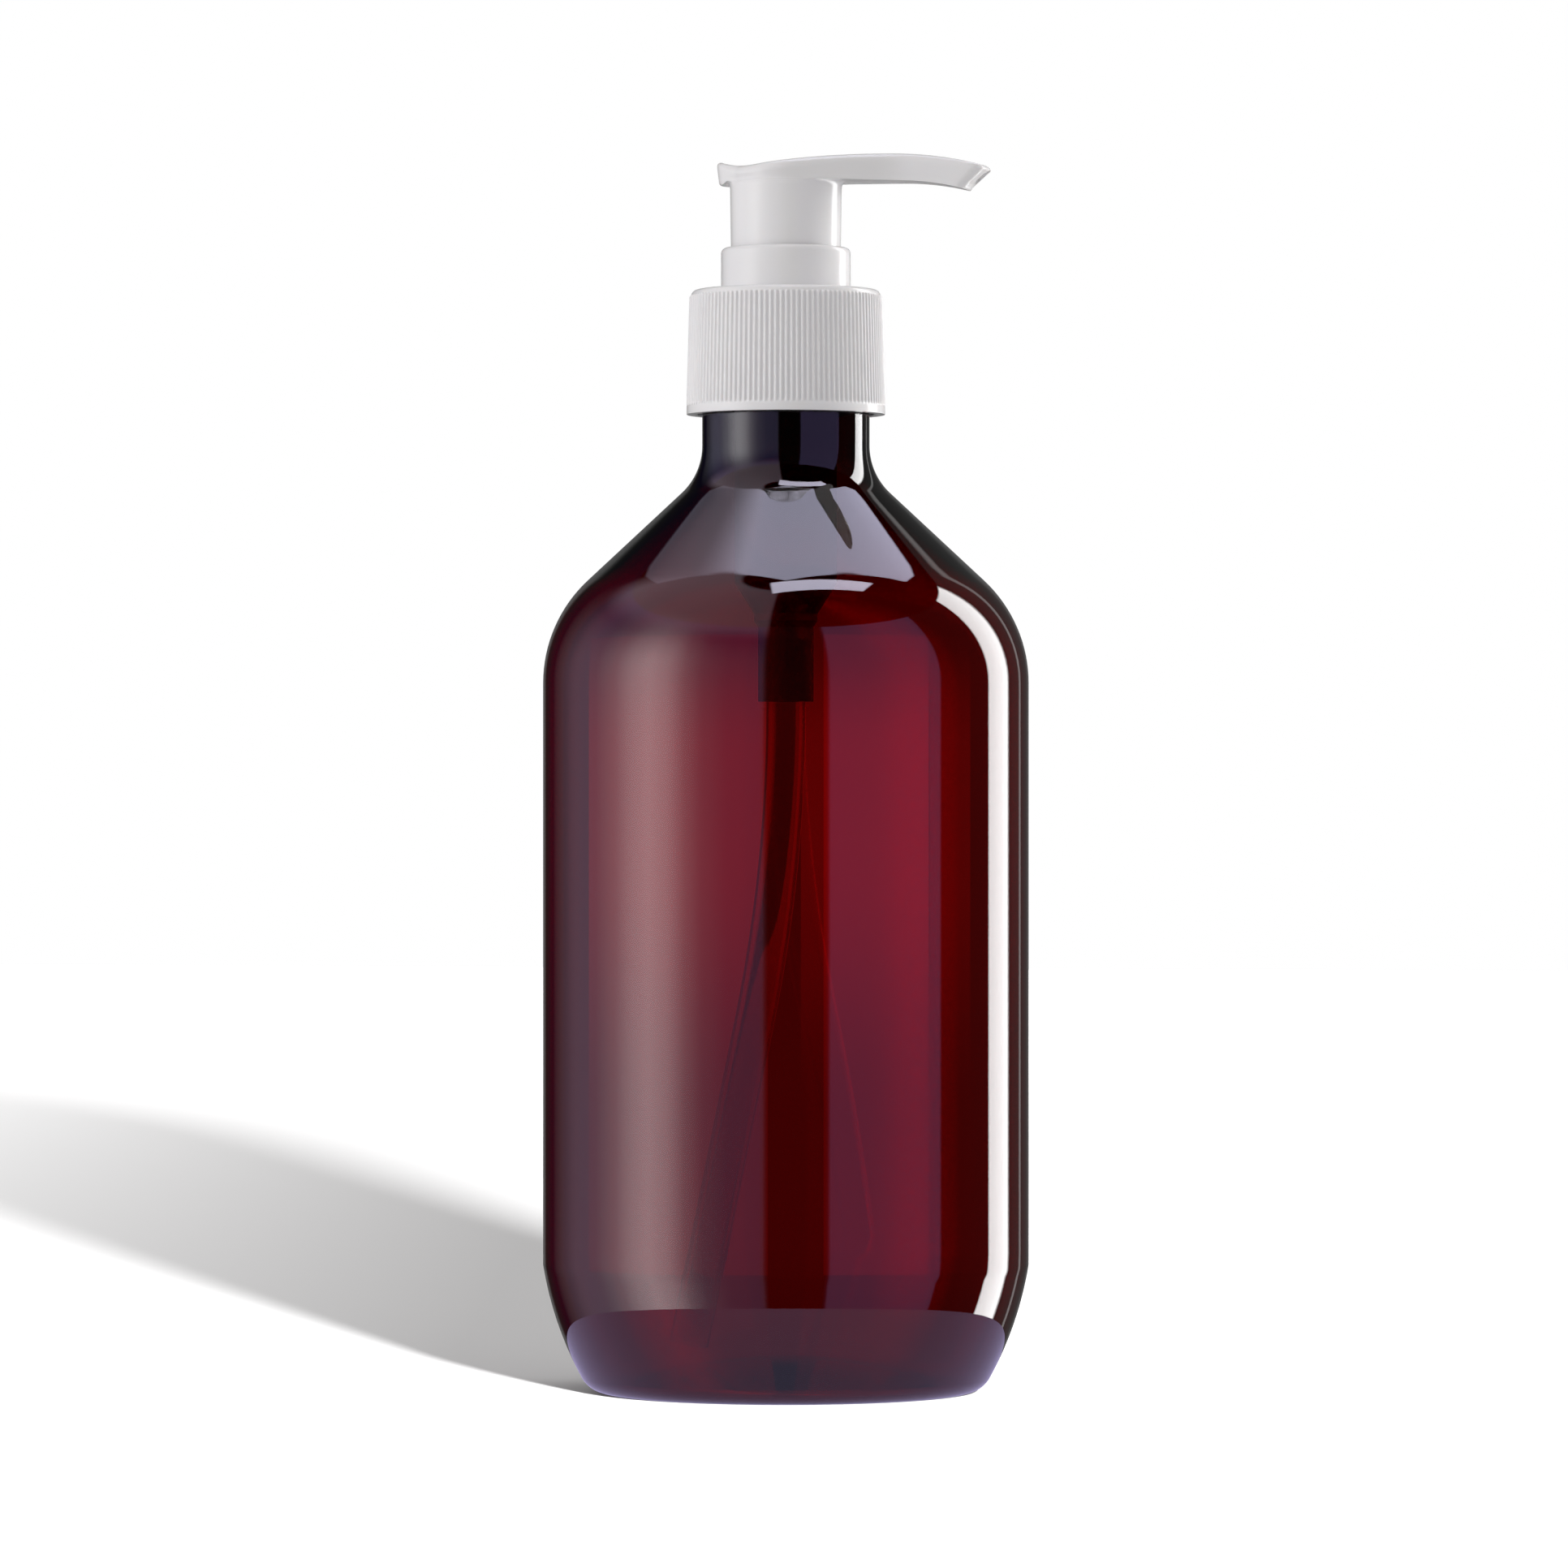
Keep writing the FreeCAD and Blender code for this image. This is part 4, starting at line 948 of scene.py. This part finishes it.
def studio():
    """White to the camera; soft boxes for gloss and glass; a smooth dome for everything matt."""
    world = bpy.data.worlds.new("studio")
    bpy.context.scene.world = world
    n = Nodes(world)
    way = n.add("ShaderNodeTexCoord").outputs["Generated"]

    def along(direction):
        dot = n.add("ShaderNodeVectorMath", {0: way, 1: direction}, operation="DOT_PRODUCT")
        return dot.outputs["Value"]

    front = along(TO_CAMERA)
    right = along(TO_RIGHT)
    up = n.add("ShaderNodeSeparateXYZ", {0: way}).outputs["Z"]
    bearing = n.math("ARCTAN2", right, front)
    bearing = n.math("MULTIPLY_ADD", bearing, 1 / (2 * math.pi), 0.5)
    rising = n.math("MULTIPLY", n.math("ARCSINE", up), 180 / math.pi)

    # level light by bearing: degrees from the camera's side, growing to the right, then strength and tint
    grey = (1.0, 1.0, 1.0)
    blue = (0.15, 0.1, 1.0)
    cool = (0.55, 0.45, 1.0)
    pink = (1, 0.84, 1)
    left_box = [(-180, 0, grey), (-145, 0, grey), (-128, 0.22, grey), (-118, 0.43, grey),
                (-102, 0.62, grey), (-88, 1.3, grey), (-78, 2.5, grey), (-68, 3.2, grey),
                (-58, 2.5, grey), (-49, 1.15, grey), (-40, 0.5, grey), (-28, 0.27, grey),
                (-10.4, 0.22, grey), (-9.6, 0.0, grey), (180, 0, grey)]
    upper_box = [(-180, 0, grey), (-140, 0, grey), (-125, 0.78, pink), (-70, 0.78, pink),
                 (-11, 0.6, (1, 0.8, 1)), (-9, 0, grey), (180, 0, grey)]
    others = [(-180, 0.15, grey), (-165, 0.15, grey), (-160, 0.02, grey), (-135, 0.04, blue),
              (-110, 0.28, blue), (-12, 0.28, blue), (-9.6, 0.01, grey),
              (19.6, 0.01, grey), (20.4, 0.6, cool), (77.6, 0.6, cool), (78.4, 0.01, grey),
              (111.2, 0.02, grey), (112.2, 7.9, grey), (129.5, 7.9, grey), (131.5, 0.08, grey),
              (145, 0.08, grey), (147, 1.0, grey), (149, 0.08, grey), (163, 0.08, grey),
              (168, 0.15, grey), (180, 0.15, grey)]
    brightest = 10.0    # a ramp holds no more than 1, so its colours are shares of this

    def level(stops):
        places = [((degree + 180) / 360, tuple(part * strength / brightest for part in tint))
                  for degree, strength, tint in stops]
        return n.ramp(bearing, places)

    def below(value, low, high):
        return n.math("SUBTRACT", 1.0, n.step(value, low, high))

    fading_up = below(rising, 10.0, 50.0)
    cut_off = below(rising, 42.5, 43.5)
    high_up = n.math("MULTIPLY", n.step(rising, 30.0, 46.0), below(rising, 76.5, 78.5))
    left = n.mix(1.0, n.mix(1.0, level(left_box), fading_up, "MULTIPLY"),
                 n.mix(1.0, level(upper_box), high_up, "MULTIPLY"), "ADD")
    around = n.mix(1.0, level(others), cut_off, "MULTIPLY")

    # soft box overhead, brightest in the middle, with a small bright edge towards the camera
    safe = n.math("MAXIMUM", up, 0.001)
    across = n.math("DIVIDE", right, safe)
    ahead = n.math("DIVIDE", front, safe)
    slant = n.math("MULTIPLY_ADD", n.math("ABSOLUTE", across), 0.7, ahead)

    def between(value, low, high, blur=0.01):
        over = n.step(value, low - blur, low + blur)
        return n.math("MULTIPLY", over, below(value, high - blur, high + blur))

    top = n.math("MULTIPLY", between(across, -0.66, 0.60), between(slant, -0.5, 0.02))
    top = n.math("MULTIPLY", top, n.math("MULTIPLY_ADD", n.step(across, -0.45, 0.05), 1.4, 0.12))
    top = n.math("MULTIPLY", top, n.math("MULTIPLY_ADD", n.step(across, 0.1, 0.6), -0.25, 1.0))
    black = (0, 0, 0, 1)
    overhead = n.mix(top, black, (0.325, 0.318, 0.415, 1.0))
    tilted = n.math("MULTIPLY_ADD", across, 0.38, ahead)
    edge = n.math("MULTIPLY", between(across, -0.08, 0.45), between(tilted, 0.035, 0.24))
    glint = n.mix(edge, black, (0.66, 0.63, 0.78, 1.0))
    path = n.add("ShaderNodeLightPath").outputs
    outside = n.math("SUBTRACT", 1.0, path["Is Transmission Ray"])
    above = n.mix(1.0, n.mix(1.0, overhead, glint, "ADD"), outside, "MULTIPLY")
    glow = n.mix(1.0, n.mix(1.0, left, around, "ADD"), above, "ADD")
    gloss = n.add("ShaderNodeBackground", {"Color": glow, "Strength": brightest}).outputs[0]

    # what shows through the clear wall on the far side: dim, and dark above
    white = (1.0, 1.0, 1.0, 1.0)
    dim = n.math("MULTIPLY_ADD", below(rising, 8.0, 20.0), 0.135, 0.015)
    beyond = n.add("ShaderNodeBackground", {"Color": white, "Strength": dim}).outputs[0]
    far_side = n.math("MULTIPLY", path["Is Transmission Ray"], below(front, -0.15, 0.0))
    gloss = n.add("ShaderNodeMixShader", {0: far_side, 1: gloss, 2: beyond}).outputs[0]

    # matt surfaces: an even dome with a soft lamp on either side
    def lamp(degrees, height, strength, width=30.0):
        turn = math.radians(degrees)
        aim = Vector(TO_CAMERA) * math.cos(turn) + Vector(TO_RIGHT) * math.sin(turn)
        aim = (aim + Vector((0, 0, math.tan(math.radians(height))))).normalized()
        return n.math("MULTIPLY", n.step(along(aim), math.cos(math.radians(width)), 1.0), strength)

    soft = n.math("ADD", lamp(-72.0, 18.0, 2.9), lamp(118.0, 10.0, 7.0))
    soft = n.math("ADD", soft, n.math("MULTIPLY_ADD", n.step(up, -0.2, 1.0), 0.12, 0.50))
    soft = n.math("MULTIPLY_ADD", n.step(n.math("MULTIPLY", up, -1.0), 0.1, 0.9), 0.30, soft)
    dome = n.add("ShaderNodeBackground", {"Color": (1.0, 0.985, 0.985, 1.0), "Strength": soft}).outputs[0]
    backdrop = n.add("ShaderNodeBackground", {"Color": white, "Strength": 1.0}).outputs[0]

    shiny = n.math("MAXIMUM", path["Is Glossy Ray"], path["Is Transmission Ray"])
    lit = n.add("ShaderNodeMixShader", {0: shiny, 1: dome, 2: gloss}).outputs[0]
    seen = n.add("ShaderNodeMixShader", {0: path["Is Camera Ray"], 1: lit, 2: backdrop}).outputs[0]
    n.add("ShaderNodeOutputWorld", {"Surface": seen})
    world.cycles.sampling_method = "NONE"


studio()


def place_in_view(across, back, height):
    """A point so far to the camera's right, beyond the bottle's axis, and up."""
    return (across * TO_RIGHT[0] - back * TO_CAMERA[0], across * TO_RIGHT[1] - back * TO_CAMERA[1], height)


def make_card(name, left, right, strength):
    """An upright glowing card behind the bottle, seen only through it and brightest above half-way."""
    back, bottom, top = 0.055, 0.014, 0.121

    def shader(n):
        place = n.add("ShaderNodeTexCoord").outputs["Object"]
        height = n.add("ShaderNodeSeparateXYZ", {0: place}).outputs["Z"]
        fall = n.math("SUBTRACT", 1.0, n.step(height, 0.100, 0.122))
        swell = n.math("MULTIPLY", n.step(height, 0.040, 0.085), fall)
        glow = n.math("MULTIPLY", n.math("MULTIPLY_ADD", swell, 0.5, 0.5), strength)
        return n.add("ShaderNodeEmission", {"Color": (1, 1, 1, 1), "Strength": glow}).outputs[0]

    corners = [place_in_view(across, back, height)
               for across, height in ((left, bottom), (right, bottom), (right, top), (left, top))]
    card = flat_piece(name, corners, shader)
    card.visible_camera = False
    card.visible_diffuse = False
    card.visible_glossy = False
    card.visible_shadow = False


# the cards' left and right edges and strengths
make_card("glow_left", -0.0341, -0.003, 0.46)
make_card("glow_middle", 0.0025, 0.0063, 0.30)
make_card("glow_right", 0.0063, 0.0241, 0.52)
make_card("glow_edge", 0.0243, 0.0316, 0.31)


SHADOW_LAMP_PLACE = place_in_view(0.200, -0.8955, 0.213)
SHADOW_LAMP_SIZE = 0.03
SHADOW_LAMP_STRENGTH = 360.0


def shadow_light(floor):
    """A small lamp to the right of the camera that lights only the floor: the bottle's long shadow."""
    lamp = bpy.data.lights.new("shadow_lamp", "POINT")
    lamp.shadow_soft_size = SHADOW_LAMP_SIZE
    lamp.energy = 1.0
    lamp.use_nodes = True
    tree = lamp.node_tree
    falloff = tree.nodes.new("ShaderNodeLightFalloff")
    falloff.inputs["Strength"].default_value = SHADOW_LAMP_STRENGTH
    tree.links.new(falloff.outputs["Constant"], tree.nodes["Emission"].inputs["Strength"])
    thing = bpy.data.objects.new("shadow_lamp", lamp)
    thing.location = SHADOW_LAMP_PLACE
    bpy.context.scene.collection.objects.link(thing)
    thing.visible_glossy = False
    thing.visible_transmission = False
    thing.visible_camera = False
    receivers = bpy.data.collections.new("shadow_receivers")
    receivers.objects.link(floor)
    thing.light_linking.receiver_collection = receivers


shadow_light(floor)

# ---------------------------------------------------------------- camera

camera_data = bpy.data.cameras.new("camera")
camera = bpy.data.objects.new("camera", camera_data)
bpy.context.scene.collection.objects.link(camera)
camera.location = (CAMERA_DISTANCE * TO_CAMERA[0], CAMERA_DISTANCE * TO_CAMERA[1], CAMERA_HEIGHT)
camera.rotation_euler = (math.radians(90), 0, CAMERA_AZIMUTH)
camera_data.lens = CAMERA_LENS
camera_data.sensor_width = CAMERA_SENSOR
camera_data.shift_x, camera_data.shift_y = CAMERA_SHIFT
bpy.context.scene.camera = camera
bpy.context.scene.view_settings.view_transform = "Standard"
